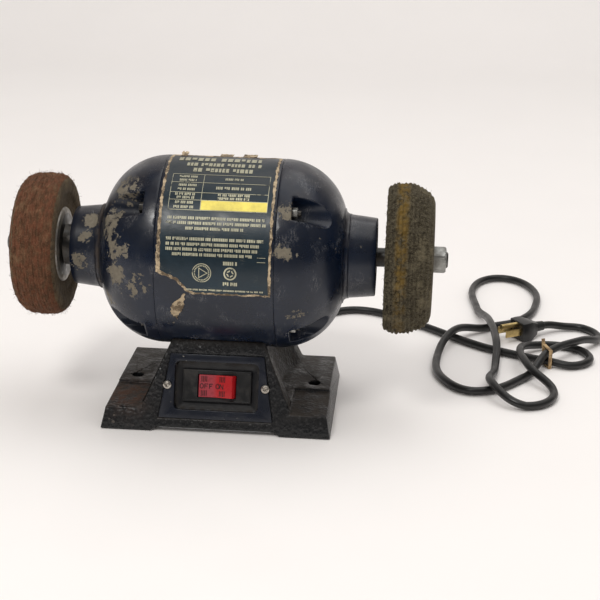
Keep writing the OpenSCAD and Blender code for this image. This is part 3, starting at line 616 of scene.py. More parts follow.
def plate_finish():
    """Satin dark paint, grimy in the dish and rubbed along its rim, with painted shade that darkens the dish
    deeper in.
    """
    made, w, at, shader = new_finish("plate_paint")
    foot = tuple(FACE_FOOT)
    out_of = w.vector("DOT_PRODUCT", w.vector("SUBTRACT", at, foot), tuple(FACE_OUT))
    across = w.absolute(w.split(at)["X"])
    rise = w.vector("DOT_PRODUCT", w.vector("SUBTRACT", at, foot), tuple(FACE_UP))
    along = w.absolute(w.minus(rise, SWITCH_V))
    depth = w.remap(out_of, -0.0004, -0.0062)
    corner = w.most(w.remap(across, 0.0285, 0.033), w.remap(along, 0.0145, 0.019))
    patch = w.remap(w.noise(at, 210.0, 5.0, 0.7), 0.38, 0.62)
    grime = w.times(w.times(depth, patch), corner)
    chips = w.group("Chipped Paint", Vector=at, Amount=w.times(corner, 0.16), Size=240.0)["Mask"]
    scuff = w.group("Scratches", Vector=at, Stretch=(120, 500, 500), Amount=0.6)["Mask"]
    paint = w.mix(w.noise(at, 60.0, 4.0), paint_of("plate"), paint_of("plate", 1.6))
    # Painted shade: the paint turns darker and browner the deeper it lies in the dish
    paint = w.mix(w.times(depth, 0.7), paint, (0.006, 0.0052, 0.0045))
    paint = w.mix(w.times(grime, 0.8), paint, paint_of("dust", 0.55))
    paint = w.mix(w.times(scuff, 0.3), paint, (0.2, 0.2, 0.2))
    w.put(shader, "Base Color", w.mix(w.times(chips, 0.8), paint, (0.32, 0.3, 0.26)))
    w.put(shader, "Roughness", w.plus(w.remap(w.noise(at, 90.0, 4.0), 0.3, 0.7, 0.26, 0.42),
                                      w.times(grime, 0.4), clamp=True))
    fine = w.noise(at, 1800.0, 2.0)
    w.put(shader, "Normal", w.bump(w.plus(w.times(fine, 0.25), grime), 0.00006, 0.6))
    return made


def base_finish():
    """Hammered black paint on cast iron, dusty on its ledges and rusty on one foot."""
    made, w, at, shader = new_finish("cast_iron_paint")
    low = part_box("base")[0]
    z = w.split(at)["Z"]
    side = w.remap(w.absolute(w.split(w.add("NewGeometry").outputs["Normal"])["X"]), 0.45, 0.8)
    above = w.remap(z, FOOT_TOP - 0.004, FOOT_TOP + 0.002)
    sides = w.times(side, above)
    dust = w.group("Settled Dust", Vector=at, Amount=1.0, Size=75.0)["Mask"]
    broken = w.remap(w.noise(at, 85.0, 6.0, 0.7), 0.32, 0.66)
    lies = w.most(w.times(dust, 0.78), w.times(w.times(sides, broken), 0.7))
    rusty = (low.x + 0.02, low.y + 0.03, FOOT_TOP)
    rust_at = w.group("Wear Spot", Vector=at, Centre=rusty, Radius=0.036)["Mask"]
    rust = w.times(rust_at, w.remap(w.noise(at, 140.0, 5.0, 0.7), 0.38, 0.6))
    foot = w.group("Wear Spot", Vector=at, Centre=(-0.083, -0.066, 0.0), Radius=0.03)["Mask"]
    chips = w.group("Chipped Paint", Vector=at, Amount=w.plus(0.1, w.times(foot, 0.4)),
                    Size=170.0)["Mask"]
    skin = w.group("Cast Skin", Vector=at, Size=420.0)
    paint = w.mix(w.noise(at, 40.0, 4.0), paint_of("base"), paint_of("base", 1.7))
    brown = w.mix(w.noise(at, 150.0, 4.0), paint_of("dust"), paint_of("dust", 0.5))
    paint = w.mix(lies, paint, brown)
    paint = w.mix(w.times(rust, 0.8), paint, paint_of("rust"))
    w.put(shader, "Base Color", w.mix(w.times(chips, 0.7), paint, (0.12, 0.1, 0.085)))
    rough = w.remap(skin["Grain"], 0.3, 0.7, 0.24, 0.4)
    w.put(shader, "Roughness", w.plus(rough, w.times(w.most(lies, rust), 0.45), clamp=True))
    calm = w.minus(1.0, w.times(lies, 0.45))
    w.put(shader, "Normal", w.bump(w.times(skin["Height"], calm), 0.0008, 0.9))
    return made


def metal_finish(name, tint, rough, turned=0.0, stain=(0.12, 0.1, 0.08), stained=0.4, pitch=2600.0):
    """Plated or bare steel with turned marks, dulled patches and stains."""
    made, w, at, shader = new_finish(name)
    patch = w.noise(at, 180.0, 5.0, 0.65)
    dull = w.remap(patch, 0.42, 0.66)
    marks = w.group("Turned Marks", Vector=at, Pitch=pitch)["Height"]
    scuff = w.group("Scratches", Vector=at, Stretch=(900, 300, 300), Amount=0.8)["Mask"]
    w.put(shader, "Base Color", w.mix(w.times(dull, stained), tint, stain))
    w.put(shader, "Metallic", w.remap(dull, 0.0, 1.0, 1.0, 1.0 - 0.6 * stained))
    rough_here = w.plus(w.remap(patch, 0.3, 0.7, rough - 0.07, rough + 0.16),
                        w.times(scuff, 0.15), clamp=True)
    w.put(shader, "Roughness", rough_here)
    height = w.plus(w.times(marks, turned), w.times(patch, 0.4))
    w.put(shader, "Normal", w.bump(height, 0.00004, 0.7))
    return made


def plastic_finish(name, tint, rough, grain=1500.0, grime=0.0):
    """Moulded plastic with a fine grain and handling marks."""
    made, w, at, shader = new_finish(name)
    smear = w.noise(at, 110.0, 5.0, 0.6)
    fine = w.noise(at, grain, 2.0, 0.5)
    marks = w.group("Scratches", Vector=at, Stretch=(500, 500, 120), Amount=0.5)["Mask"]
    dirt = w.times(w.remap(smear, 0.46, 0.68), grime)
    tone = w.mix(w.times(fine, 0.25), tint, scaled(tint, 1.5))
    tone = w.mix(dirt, tone, (0.07, 0.06, 0.05))
    w.put(shader, "Base Color", w.mix(w.times(marks, 0.2), tone, (0.25, 0.25, 0.25)))
    smooth_here = w.remap(smear, 0.3, 0.7, rough - 0.06, rough + 0.1)
    w.put(shader, "Roughness", w.plus(smooth_here, w.times(dirt, 0.25), clamp=True))
    w.put(shader, "Normal", w.bump(fine, 0.00003, 0.5))
    return made


def rocker_finish():
    """Red rocker, matt and faded on its pressed half, bright on the other."""
    made, w, at, shader = new_finish("rocker_plastic")
    red = setting("grinder_switch", "rocker")
    x = w.split(at)["X"]
    faded = w.times(w.remap(x, 0.0015, -0.004), w.remap(w.noise(at, 260.0, 4.0), 0.2, 0.55, 0.55, 1.0))
    smear = w.noise(at, 300.0, 5.0, 0.65)
    tone = w.mix(faded, red, (0.33, 0.03, 0.045))
    tone = w.mix(w.remap(smear, 0.5, 0.72, 0.0, 0.5), tone, scaled(red, 0.4))
    w.put(shader, "Base Color", tone)
    w.put(shader, "Roughness", w.plus(w.remap(faded, 0.0, 1.0, 0.25, 0.5), w.times(smear, 0.1), clamp=True))
    w.put(shader, "Normal", w.bump(w.noise(at, 1400.0, 2.0), 0.00003, 0.5))
    set_constants(shader, Subsurface_Weight=0.06, Subsurface_Radius=(0.004, 0.001, 0.001),
                  Subsurface_Scale=0.4)
    return made


def cotton_finish(name, tint, dark, pale, across, round_it, compound=None):
    """Frayed cotton, streaked round the tread, loaded with polishing compound."""
    made, w, at, shader = new_finish(name)
    cloth = w.group("Cotton", Vector=at, Across=across, Round=round_it)
    made_round = w.group("Round the Shaft", Vector=at)
    tone = w.mix(w.remap(cloth["Streak"], 0.34, 0.66), dark, tint)
    tone = w.mix(w.remap(cloth["Patch"], 0.5, 0.74, 0.0, 0.6), tone, pale)
    tone = w.mix(w.remap(cloth["Fuzz"], 0.52, 0.72, 0.0, 0.75), tone, [min(1, c * 1.7) for c in pale])
    tone = w.mix(w.remap(cloth["Fuzz"], 0.44, 0.25, 0.0, 0.6), tone, scaled(dark, 0.4))
    if compound is not None:
        tint_at, low, high = compound
        band = w.times(w.remap(made_round["Along"], low - 0.003, low + 0.001),
                       w.remap(made_round["Along"], high + 0.003, high - 0.001))
        blots = w.remap(w.noise(at, 120.0, 5.0, 0.7), 0.36, 0.62)
        below = w.remap(w.split(at)["Z"], 0.07, 0.15, 0.35, 0.85)
        band = w.times(band, w.times(blots, below))
        tone = w.mix(band, tone, tint_at)
    w.put(shader, "Base Color", tone)
    w.put(shader, "Roughness", w.remap(cloth["Patch"], 0.3, 0.7, 0.78, 0.97))
    height = w.plus(w.times(cloth["Fuzz"], 0.7), w.times(cloth["Streak"], 0.7))
    w.put(shader, "Normal", w.bump(height, 0.0006, 0.9))
    set_constants(shader, Sheen_Weight=0.25, Sheen_Roughness=0.6, Sheen_Tint=(*pale, 1),
                  Specular_IOR_Level=0.2)
    return made


def rubber_finish():
    """Black rubber, dusty along its upper side."""
    made, w, at, shader = new_finish("cord_rubber")
    dust = w.group("Settled Dust", Vector=at, Amount=0.2, Size=140.0)["Mask"]
    fine = w.noise(at, 900.0, 3.0)
    smear = w.noise(at, 60.0, 5.0, 0.6)
    black = setting("grinder_cord", "rubber")
    tone = w.mix(smear, black, scaled(black, 1.8))
    w.put(shader, "Base Color", w.mix(dust, tone, (0.05, 0.047, 0.043)))
    w.put(shader, "Roughness", w.plus(w.remap(smear, 0.3, 0.7, 0.28, 0.46), w.times(dust, 0.3), clamp=True))
    w.put(shader, "Normal", w.bump(fine, 0.00005, 0.5))
    return made


def paper_finish(name, tint, dirt):
    """Torn paper with fibres and dirt."""
    made, w, at, shader = new_finish(name)
    patch = w.noise(at, 330.0, 5.0, 0.7)
    fibre = w.noise(w.vector("MULTIPLY", at, (500, 1900, 1900)), 1.0, 4.0, 0.7)
    tone = w.mix(w.remap(patch, 0.4, 0.66), tint, scaled(tint, 1.35))
    tone = w.mix(w.remap(w.noise(at, 140.0, 5.0, 0.7), 0.44, 0.6, 0.0, 0.9), tone, dirt)
    w.put(shader, "Base Color", w.mix(w.remap(fibre, 0.6, 0.75, 0.0, 0.5), tone, scaled(tint, 0.5)))
    w.put(shader, "Roughness", w.remap(patch, 0.3, 0.7, 0.7, 0.95))
    w.put(shader, "Normal", w.bump(w.plus(fibre, patch), 0.00025, 0.8))
    return made


def film_finish(name, tint, worn_to, wear, gloss):
    """Printed film, glossy, rubbed and scratched towards its edges."""
    made, w, at, shader = new_finish(name)
    x, y, z = w.split(at)
    side = w.remap(w.absolute(x), 0.022, 0.044, 0.0, 0.2)
    low = w.remap(z, AXIS_Z + 0.012, AXIS_Z - 0.012, 0.0, 0.16)
    amount = w.plus(w.plus(side, low), wear)
    rubbed = w.group("Chipped Paint", Vector=at, Amount=amount, Size=230.0)["Mask"]
    lines = w.group("Scratches", Vector=at, Stretch=(90, 700, 700), Amount=0.9)["Mask"]
    cloud = w.noise(at, 35.0, 5.0, 0.65)
    brown = w.times(w.remap(z, AXIS_Z + 0.05, AXIS_Z + 0.072), w.remap(cloud, 0.36, 0.6))
    tone = w.mix(w.remap(cloud, 0.35, 0.68), tint, scaled(tint, 1.6))
    tone = w.mix(w.times(brown, 0.4), tone, (0.05, 0.04, 0.03))
    tone = w.mix(w.times(lines, 0.4), tone, (0.18, 0.17, 0.13))
    w.put(shader, "Base Color", w.mix(w.times(rubbed, 0.85), tone, worn_to))
    smooth_here = w.remap(cloud, 0.3, 0.7, gloss, gloss + 0.16)
    w.put(shader, "Roughness", w.plus(smooth_here, w.times(rubbed, 0.35), clamp=True))
    crease = w.noise(at, 190.0, 3.0, 0.5)
    w.put(shader, "Normal", w.bump(w.minus(crease, w.times(rubbed, 0.4)), 0.0002, 0.5))
    return made


def stack_finish(name, tint, pitch, soft):
    """Thin laminations or wound wire: fine lines that repeat along one direction."""
    made, w, at, shader = new_finish(name)
    if soft:
        around = w.group("Round the Shaft", Vector=at)
        wound = w.join(w.times(around["Radius"], pitch), w.times(around["Along"], pitch),
                       w.times(around["Turns"], 6.0))
        line = w.noise(wound, 1.0, 2.0)
    else:
        line = w.maths("PINGPONG", w.times(w.split(at)["X"], pitch), 0.5)
    patch = w.noise(at, 130.0, 4.0)
    tone = w.mix(w.remap(line, 0.2, 0.5), scaled(tint, 0.45), tint)
    w.put(shader, "Base Color", w.mix(w.remap(patch, 0.5, 0.8, 0.0, 0.4), tone, (0.09, 0.07, 0.05)))
    w.put(shader, "Metallic", w.remap(patch, 0.3, 0.8, 0.9, 0.6))
    w.put(shader, "Roughness", w.remap(patch, 0.3, 0.7, 0.32, 0.5))
    w.put(shader, "Normal", w.bump(line, 0.0002, 0.6))
    return made


def floor_finish():
    """The pale stage, faintly uneven."""
    made, w, at, shader = new_finish("stage_paper")
    tint = setting("grinder_stage", "floor")
    w.put(shader, "Base Color", w.mix(w.noise(at, 3.0, 3.0), tint, [min(1, c * 1.03) for c in tint]))
    w.put(shader, "Roughness", w.remap(w.noise(at, 12.0, 2.0), 0.3, 0.7, 0.7, 0.85))
    return made


def make_finishes():
    """All the finishes, by the name of the record's slot or of the piece that uses them."""
    for build in EFFECTS:
        build()
    wheel = "grinder_wheels"
    inner_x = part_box("right_wheel")[0].x
    return {
        "housing_blue": housing_finish(),
        "plate_blue": plate_finish(),
        "cast_black": base_finish(),
        "steel": metal_finish("shaft_steel", (0.085, 0.083, 0.08), 0.36, 0.9, stained=0.6),
        "zinc": metal_finish("zinc_plate", (0.42, 0.42, 0.4), 0.42, 0.5),
        "flange": metal_finish("flange_steel", (0.37, 0.35, 0.32), 0.5, 0.8, stain=(0.2, 0.17, 0.13),
                               stained=0.75, pitch=1500.0),
        "nickel": metal_finish("nickel_screws", (0.6, 0.56, 0.5), 0.26, 0.1, stain=(0.1, 0.08, 0.06)),
        "bright_steel": metal_finish("bearing_steel", (0.66, 0.66, 0.67), 0.16, 0.2, stained=0.1),
        "aluminium": metal_finish("cast_aluminium", (0.62, 0.63, 0.64), 0.46, 0.2, stained=0.2),
        "brass": metal_finish("brass_blades", (0.62, 0.47, 0.2), 0.3, 0.2, stain=(0.2, 0.12, 0.05)),
        "sheet": metal_finish("cover_sheet", (0.3, 0.31, 0.32), 0.4, 0.1),
        "lamination": stack_finish("laminations", (0.36, 0.37, 0.39), 2000.0, False),
        "copper": stack_finish("wound_copper", (0.5, 0.2, 0.07), 900.0, True),
        "black_plastic": plastic_finish("bezel_plastic", setting("grinder_switch", "bezel"), 0.4,
                                        grime=0.25),
        "capacitor": plastic_finish("capacitor_can", (0.55, 0.55, 0.52), 0.35, 900.0, 0.2),
        "marks": plastic_finish("rocker_marks", setting("grinder_switch", "marks"), 0.6),
        "red_plastic": rocker_finish(),
        "cotton_brown": cotton_finish("rust_cotton", setting(wheel, "left_colour"), (0.06, 0.028, 0.014),
                                      (0.2, 0.125, 0.07), 420.0, 9.0),
        "cotton_face": cotton_finish("olive_cotton", (0.11, 0.075, 0.042), (0.04, 0.028, 0.017),
                                     (0.2, 0.16, 0.1), 240.0, 14.0),
        "cotton_grey": cotton_finish("grey_cotton", setting(wheel, "right_colour"), (0.016, 0.012, 0.007),
                                     (0.2, 0.17, 0.11), 420.0, 40.0,
                                     (setting(wheel, "compound"), inner_x + 0.009, inner_x + 0.0155)),
        "rubber": rubber_finish(),
        "tie": paper_finish("tie_paper", (0.42, 0.29, 0.15), (0.18, 0.11, 0.055)),
        "label": film_finish("label_film", setting("grinder_label", "film"), (0.2, 0.17, 0.11), 0.02, 0.3),
        "label_print": film_finish("label_print", setting("grinder_label", "print_colour"),
                                   (0.05, 0.055, 0.055), 0.38, 0.4),
        "label_strip": film_finish("label_strip", setting("grinder_label", "strip"), (0.07, 0.06, 0.03),
                                   0.22, 0.42),
        "floor": floor_finish(),
        "label_paper": paper_finish("label_paper", setting("grinder_label", "paper"), (0.07, 0.045, 0.025)),
    }


FINISHES = {}


def finish_cad(node, name):
    """Gives a carried-over CAD node its detailed finish."""
    piece = NODES[node]
    piece.data.materials.clear()
    piece.data.materials.append(FINISHES[name])


# ---- Wheels ----


def from_shaft(place):
    """A place's distance from the shaft's line."""
    return math.hypot(place.y - CENTRE.y, place.z - CENTRE.z)


def spun(name, profile, steps):
    """A closed profile of (x, radius) points spun all round the shaft."""
    corners = len(profile)
    made = new_piece(
        name, [(x, 0, AXIS_Z + r) for x, r in profile], [], [(i, (i + 1) % corners) for i in range(corners)])
    edit(made, mode="EDGE")
    bpy.ops.mesh.spin(steps=steps, angle=2 * math.pi, center=tuple(CENTRE), axis=(1, 0, 0))
    leave_edit()
    outward(made, 5e-6)
    return made


def curve_through(stops, value):
    """A smooth value between (place, value) stops."""
    for (a, low), (b, high) in zip(stops, stops[1:]):
        if value <= b:
            t = max(0.0, min(1.0, (value - a) / (b - a)))
            return low + (high - low) * (t * t * (3 - 2 * t) * 0.5 + t * 0.5)
    return stops[-1][1]


def wheel_profile(rim, inner_face, outer_face, layers, ridge, hole_r):
    """Points (distance out from the inner rim face, radius), with a ridge for each layer of the tread."""
    width = rim[-1][0]
    points = [(a * MM, r * MM) for r, a in inner_face]
    per_layer = 5
    count = layers * per_layer
    for i in range(count + 1):
        a = width * i / count
        bulge = 1 - (2 * ((i % per_layer) / per_layer) - 1) ** 2 if i % per_layer else 0
        points.append((a * MM, (curve_through(rim, a) - ridge * (1 - bulge)) * MM))
    points += [(a * MM, r * MM) for r, a in outer_face]
    points += [(outer_face[-1][1] * MM, hole_r), (inner_face[0][1] * MM, hole_r)]
    return points


def ruffle(piece, inner_x, side, width, layers, radius, depth, lumps, fuzz, seed):
    """Gives every layer its own wavy edge, and the tread its fuzz."""
    tread_low, tread_high = radius - 0.014, radius - 0.003
    for corner in piece.data.vertices:
        away = corner.co - CENTRE
        r = math.hypot(away.y, away.z)
        if r < tread_low * 0.8:
            continue
        out = (corner.co.x - inner_x) * side
        weight = max(0.0, min(1.0, (r - tread_low) / (tread_high - tread_low)))
        c, s = away.y / r, away.z / r
        layer = math.floor(max(0.0, min(0.999, out / width)) * layers)
        wave = noise.noise(Vector((c * lumps, s * lumps, layer * 3.7 + seed)))
        broad = noise.noise(Vector((c * 2.2, s * 2.2, layer * 0.35 + seed + 40)))
        fine = noise.noise(Vector((corner.co.x * 900, away.y * 900, away.z * 900)))
        finer = noise.noise(Vector((corner.co.x * 300 + 9, away.y * 300, away.z * 300)))
        push = weight * (depth * wave + 0.5 * depth * broad) + (0.3 + 0.7 * weight) * fuzz * (fine + finer)
        new_r = r + push
        corner.co.y = CENTRE.y + c * new_r
        corner.co.z = CENTRE.z + s * new_r
        sway = noise.noise(Vector((c * lumps, s * lumps, layer + seed + 80)))
        corner.co.x += side * weight * 0.35 * depth * sway
    piece.data.update()


def add_threads(name, piece, count, reach, thick, seed, low_r):
    """Loose threads that stand out of a wheel's tread, as one piece of thin three-sided tubes."""
    pick = random.Random(seed)
    faces = [f for f in piece.data.polygons if from_shaft(f.center) > low_r]
    points, sides = [], []
    for _ in range(count):
        face = pick.choice(faces)
        place = face.center.copy()
        out = face.normal.copy()
        around = Vector((1, 0, 0)).cross(out).normalized() * pick.choice((-1, 1))
        way = (out + around * pick.uniform(0.2, 1.8) + Vector((pick.uniform(-0.7, 0.7), 0, 0))).normalized()
        long = reach * pick.uniform(0.35, 1.0) ** 1.5
        here, links, base = place - out * thick, 5, len(points)
        for i in range(links + 1):
            side = way.cross(Vector((0.3, 0.5, 0.81))).normalized()
            other = way.cross(side)
            radius = thick * (1 - 0.55 * i / links)
            for k in range(3):
                turn = 2 * math.pi * k / 3
                points.append(here + (side * math.cos(turn) + other * math.sin(turn)) * radius)
            here = here + way * long / links
            way = (way + Vector([pick.uniform(-0.45, 0.45) for _ in range(3)]) + around * 0.12).normalized()
        for i in range(links):
            for k in range(3):
                a, b = base + i * 3 + k, base + i * 3 + (k + 1) % 3
                sides.append((a, b, b + 3, a + 3))
        sides.append((base + 2, base + 1, base))
        last = base + links * 3
        sides.append((last, last + 1, last + 2))
    return new_piece(name, points, sides)


# Radius of the wheels' bore, and of a thread
BORE_R = 0.00645
THREAD_R = 0.00012

# What differs between the wheels. The outlines are in millimetres: the tread as (distance out from the
# inner rim face, radius), the two faces as (radius, distance out).
WHEELS = (
    {
        "side": -1, "name": "left", "tread": "cotton_brown", "ridge": 0.45, "depth": 0.0009, "lumps": 11.0,
        "fuzz": 0.00042, "seed": 3.0, "reach": 0.0046,
        "rim": ((0, 51.5), (2.5, 54.6), (6, 56.0), (14, 56.5), (24, 56.0), (30, 54.0), (33.5, 50.5),
                (35, 46.5)),
        "inner": ((7.5, 3.25), (30.5, 3.25), (33, 2.3), (40.5, 1.9), (41.5, 0.6), (46, 0.1), (49.5, 0.0)),
        "outer": ((44, 34.9), (41, 33.2), (38, 32.4), (33, 31.9), (30.5, 31.75), (8, 31.75)),
    },
    {
        "side": 1, "name": "right", "tread": "cotton_grey", "ridge": 0.8, "depth": 0.0021, "lumps": 30.0,
        "fuzz": 0.00045, "seed": 11.0, "reach": 0.0032,
        "rim": ((0, 54.4), (1.5, 56.4), (6, 58.2), (13, 58.3), (20, 57.6), (27, 55.6), (32, 52.8),
                (35.5, 49.0), (37, 45.5)),
        "inner": ((7.5, 4.25), (30.5, 4.25), (33, 3.0), (41, 1.2), (46, 0.3), (51, 0.1)),
        "outer": ((43, 36.6), (40, 35.2), (36, 33.6), (32, 32.9), (30.5, 32.75), (8, 32.75)),
    },
)


def show_flat_sides(wheel, middle, flat):
    """Gives a wheel's middle, and its flat sides out to a radius, the second finish."""
    for face in wheel.data.polygons:
        r = from_shaft(face.center)
        on_side = abs(face.normal.x) > 0.55 and r < flat
        face.material_index = 1 if on_side or r < middle else 0


def make_wheel(side, name, tread, ridge, depth, lumps, fuzz, seed, reach, rim, inner, outer):
    """One buffing wheel and its loose threads."""
    layers = setting("grinder_wheels", name + "_layers")
    low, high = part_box(name + "_wheel")
    inner_x = low.x if side > 0 else high.x
    outline = wheel_profile(rim, inner, outer, layers, ridge, BORE_R)
    wheel = spun(name + "_wheel_layers", [(inner_x + side * a, r) for a, r in outline],
                 setting("grinder_wheels", "steps"))
    radius = (high.y - low.y) / 2
    ruffle(wheel, inner_x, side, high.x - low.x, layers, radius, depth, lumps, fuzz, seed)
    smooth(wheel, 60)
    wheel.data.materials.append(FINISHES[tread])
    wheel.data.materials.append(FINISHES["cotton_face"])
    if side < 0:
        show_flat_sides(wheel, middle=0.045, flat=0.0525)
    hand_over(wheel, "rotor", tread, None, name + "_wheel")
    tread_from = radius - 0.009
    threads = add_threads(name + "_wheel_threads", wheel, setting("grinder_wheels", "threads"),
                          reach, THREAD_R, int(seed), tread_from)
    hand_over(threads, "rotor", tread, FINISHES[tread])


class GRINDER_OT_wheels(bpy.types.Operator):
    """Make both buffing wheels, layer by layer, with their loose threads"""

    bl_idname = "grinder.wheels"
    bl_label = "Buffing Wheels"

    def execute(self, context):
        for wheel in WHEELS:
            make_wheel(**wheel)
        return {"FINISHED"}


# ---- Label ----

PRINT_THICK = 0.00004


def on_shell(across, angle, lift):
    """A point on the shell, given across it in metres and as an angle above its front."""
    r = BODY_R + lift
    return Vector((across, -r * math.cos(angle), AXIS_Z + r * math.sin(angle)))


def torn(value, seed, rough=0.0009, size=260.0):
    """A ragged shift of a torn edge."""
    broad = noise.noise(Vector((value * size, seed, 0.5)))
    fine = noise.noise(Vector((value * size * 3.7, seed + 5.0, 2.5)))
    return rough * (broad + 0.55 * fine)


def label_sheet(name, left, right, low, high, lift, thick, cells, wave=0.0, seed=0.0):
    """A sheet on the shell with ragged edges. Edges are functions of the place along them."""
    across_cells, up_cells = cells
    points = []
    for j in range(up_cells + 1):
        s = j / up_cells
        for i in range(across_cells + 1):
            t = i / across_cells
            angle = low(t) + (high(t) - low(t)) * s
            u = left(angle) + (right(angle) - left(angle)) * t
            edge = min(t, 1 - t, s * 2, (1 - s) * 2)
            curl = max(0.0, 1 - edge / 0.03)
            bumpy = wave * (0.5 + noise.noise(Vector((u * 120, angle * 9, seed))))
            rise = lift + max(0.0, bumpy) * (0.4 + 1.6 * curl)
            points.append(on_shell(u, angle, rise))
    row = across_cells + 1
    faces = [(j * row + i, j * row + i + 1, (j + 1) * row + i + 1, (j + 1) * row + i)
             for j in range(up_cells) for i in range(across_cells)]
    made = new_piece(name, points, faces)
    apply_modifier(made, "SOLIDIFY", thickness=thick, offset=1.0)
    outward(made)
    smooth(made, 50)
    return made


def printed(name, quads, lift):
    """Flat printed shapes on the label as one thin piece. Each has four corners of (across, angle)."""
    points, faces = [], []
    for (u0, a0), (u1, a1), (u2, a2), (u3, a3) in quads:
        long = max(abs(a3 - a0), abs(a2 - a1))
        parts = max(1, math.ceil(long / math.radians(3)))
        for k in range(parts + 1):
            t = k / parts
            points.append(on_shell(u0 + (u3 - u0) * t, a0 + (a3 - a0) * t, lift))
            points.append(on_shell(u1 + (u2 - u1) * t, a1 + (a2 - a1) * t, lift))
        base = len(points) - 2 * (parts + 1)
        for k in range(parts):
            i = base + 2 * k
            faces.append((i, i + 1, i + 3, i + 2))
    made = new_piece(name, points, faces)
    apply_modifier(made, "SOLIDIFY", thickness=PRINT_THICK, offset=1.0)
    return made


def bar(u0, u1, degrees0, degrees1):
    """An upright rectangle on the label, across in millimetres and up in degrees."""
    a0, a1 = math.radians(degrees0), math.radians(degrees1)
    return ((u0 * MM, a0), (u1 * MM, a0), (u1 * MM, a1), (u0 * MM, a1))


def line_of_marks(u0, u1, degrees, tall, pick, wide=1.0, longest=8):
    """A line of plain marks in groups, for letters in words. Sizes are in millimetres and degrees."""
    found, u = [], u0
    while u < u1 - wide:
        for _ in range(pick.randint(2, longest)):
            across = wide * pick.uniform(0.55, 1.05)
            if u + across > u1:
                break
            low = degrees - tall / 2 + (tall * 0.3 if pick.random() < 0.12 else 0)
            found.append(bar(u, u + across, low, degrees + tall / 2))
            u += across + wide * 0.28
        u += wide * 0.75
    return found


def ring_of_marks(u, degrees, radius, thick, parts, gap=0.0):
    """A ring on the label, whole or dashed, as quads."""
    found = []
    per_mm = 1 / (BODY_R / MM)
    for k in range(parts):
        a, b = 2 * math.pi * k / parts, 2 * math.pi * (k + 1 - gap) / parts
        quad = [((u + math.cos(t) * r) * MM, math.radians(degrees) + math.sin(t) * r * per_mm)
                for t, r in ((a, radius - thick), (a, radius), (b, radius), (b, radius - thick))]
        found.append(tuple(quad))
    return found


# How far the lower edge rises, in degrees, at places across the label: its left corner is torn away
TORN_CORNER = ((0.0, 12.5), (0.08, 10.4), (0.16, 8.6), (0.22, 4.6), (0.27, 1.2), (0.32, 0.2), (1.0, 0.0))

# The label's width and the radius that it bends round, which turn places on its edges into lengths
LABEL_WIDE = 0.087
BEND_R = 0.075

# How far above the shell the print lies
PRINT_LIFT = 0.00066


def low_edge(t):
    """The angle of the label's lower edge at a place across it."""
    level = math.radians(curve_through(TORN_CORNER, t)) - setting("grinder_label", "low")
    return level + torn(t * LABEL_WIDE, 1.0, 0.011)


def make_backing():
    """The torn paper that the film is on."""
    high = setting("grinder_label", "high")
    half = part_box("label")[1].x - 0.0004
    paper = label_sheet(
        "label_paper", lambda a: -half + torn(a * BEND_R, 6.0), lambda a: half + torn(a * BEND_R, 7.0),
        low_edge, lambda t: high + torn(t * LABEL_WIDE, 2.0, 0.02, 190),
        0.00004, 0.00022, (80, 130), 0.00012, 3.0)
    hand_over(paper, "housing", "label", FINISHES["label_paper"], "label")


def make_film():
    """The printed film, a little smaller than its backing."""
    high = setting("grinder_label", "high")
    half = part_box("label")[1].x

    def left(angle):
        return -half + 0.0035 - 0.0012 * math.sin(angle) + 0.6 * torn(angle * BEND_R, 8.0, 0.0012, 200)

    def low(t):
        return low_edge(t) + math.radians(1.1 + 0.5 * noise.noise(Vector((t * 17, 3, 1))))

    film = label_sheet(
        "label_film", left, lambda a: half - 0.0023 + torn(a * BEND_R, 9.0, 0.0007),
        low, lambda t: high - math.radians(3.5) + torn(t * LABEL_WIDE, 4.0, 0.035, 150),
        0.0003, 0.00012, (80, 130), 0.0001, 5.0)
    hand_over(film, "housing", "label", FINISHES["label"])


def table_marks(pick):
    """The printed table: its rules, its left column's lines and its right column's."""
    found = []
    for across in (-36.3, -12.2, 38.0):
        found.append(bar(across - 0.2, across + 0.2, 40.1, 66.4))
    for degrees in (66.4, 59.4, 51.8, 46.6, 40.1):
        found.append(bar(-36.3, 38.1, degrees - 0.17, degrees + 0.17))
    for degrees in (64.3, 61.3, 57.2, 54.1, 50.5, 48.2, 44.9, 41.9):
        found += line_of_marks(-32.5 + pick.uniform(0, 2), -17.0, degrees, 1.75, pick, 1.1, 6)
    for u0, u1, degrees, tall, wide, longest in (
        (4, 19, 62.9, 1.8, 1.2, 5), (-2, 27, 55.6, 2.1, 1.4, 4), (0, 25, 50.5, 1.7, 1.2, 6),
        (0, 25, 48.2, 1.7, 1.2, 6),
    ):
        found += line_of_marks(u0, u1, degrees, tall, pick, wide, longest)
    return found


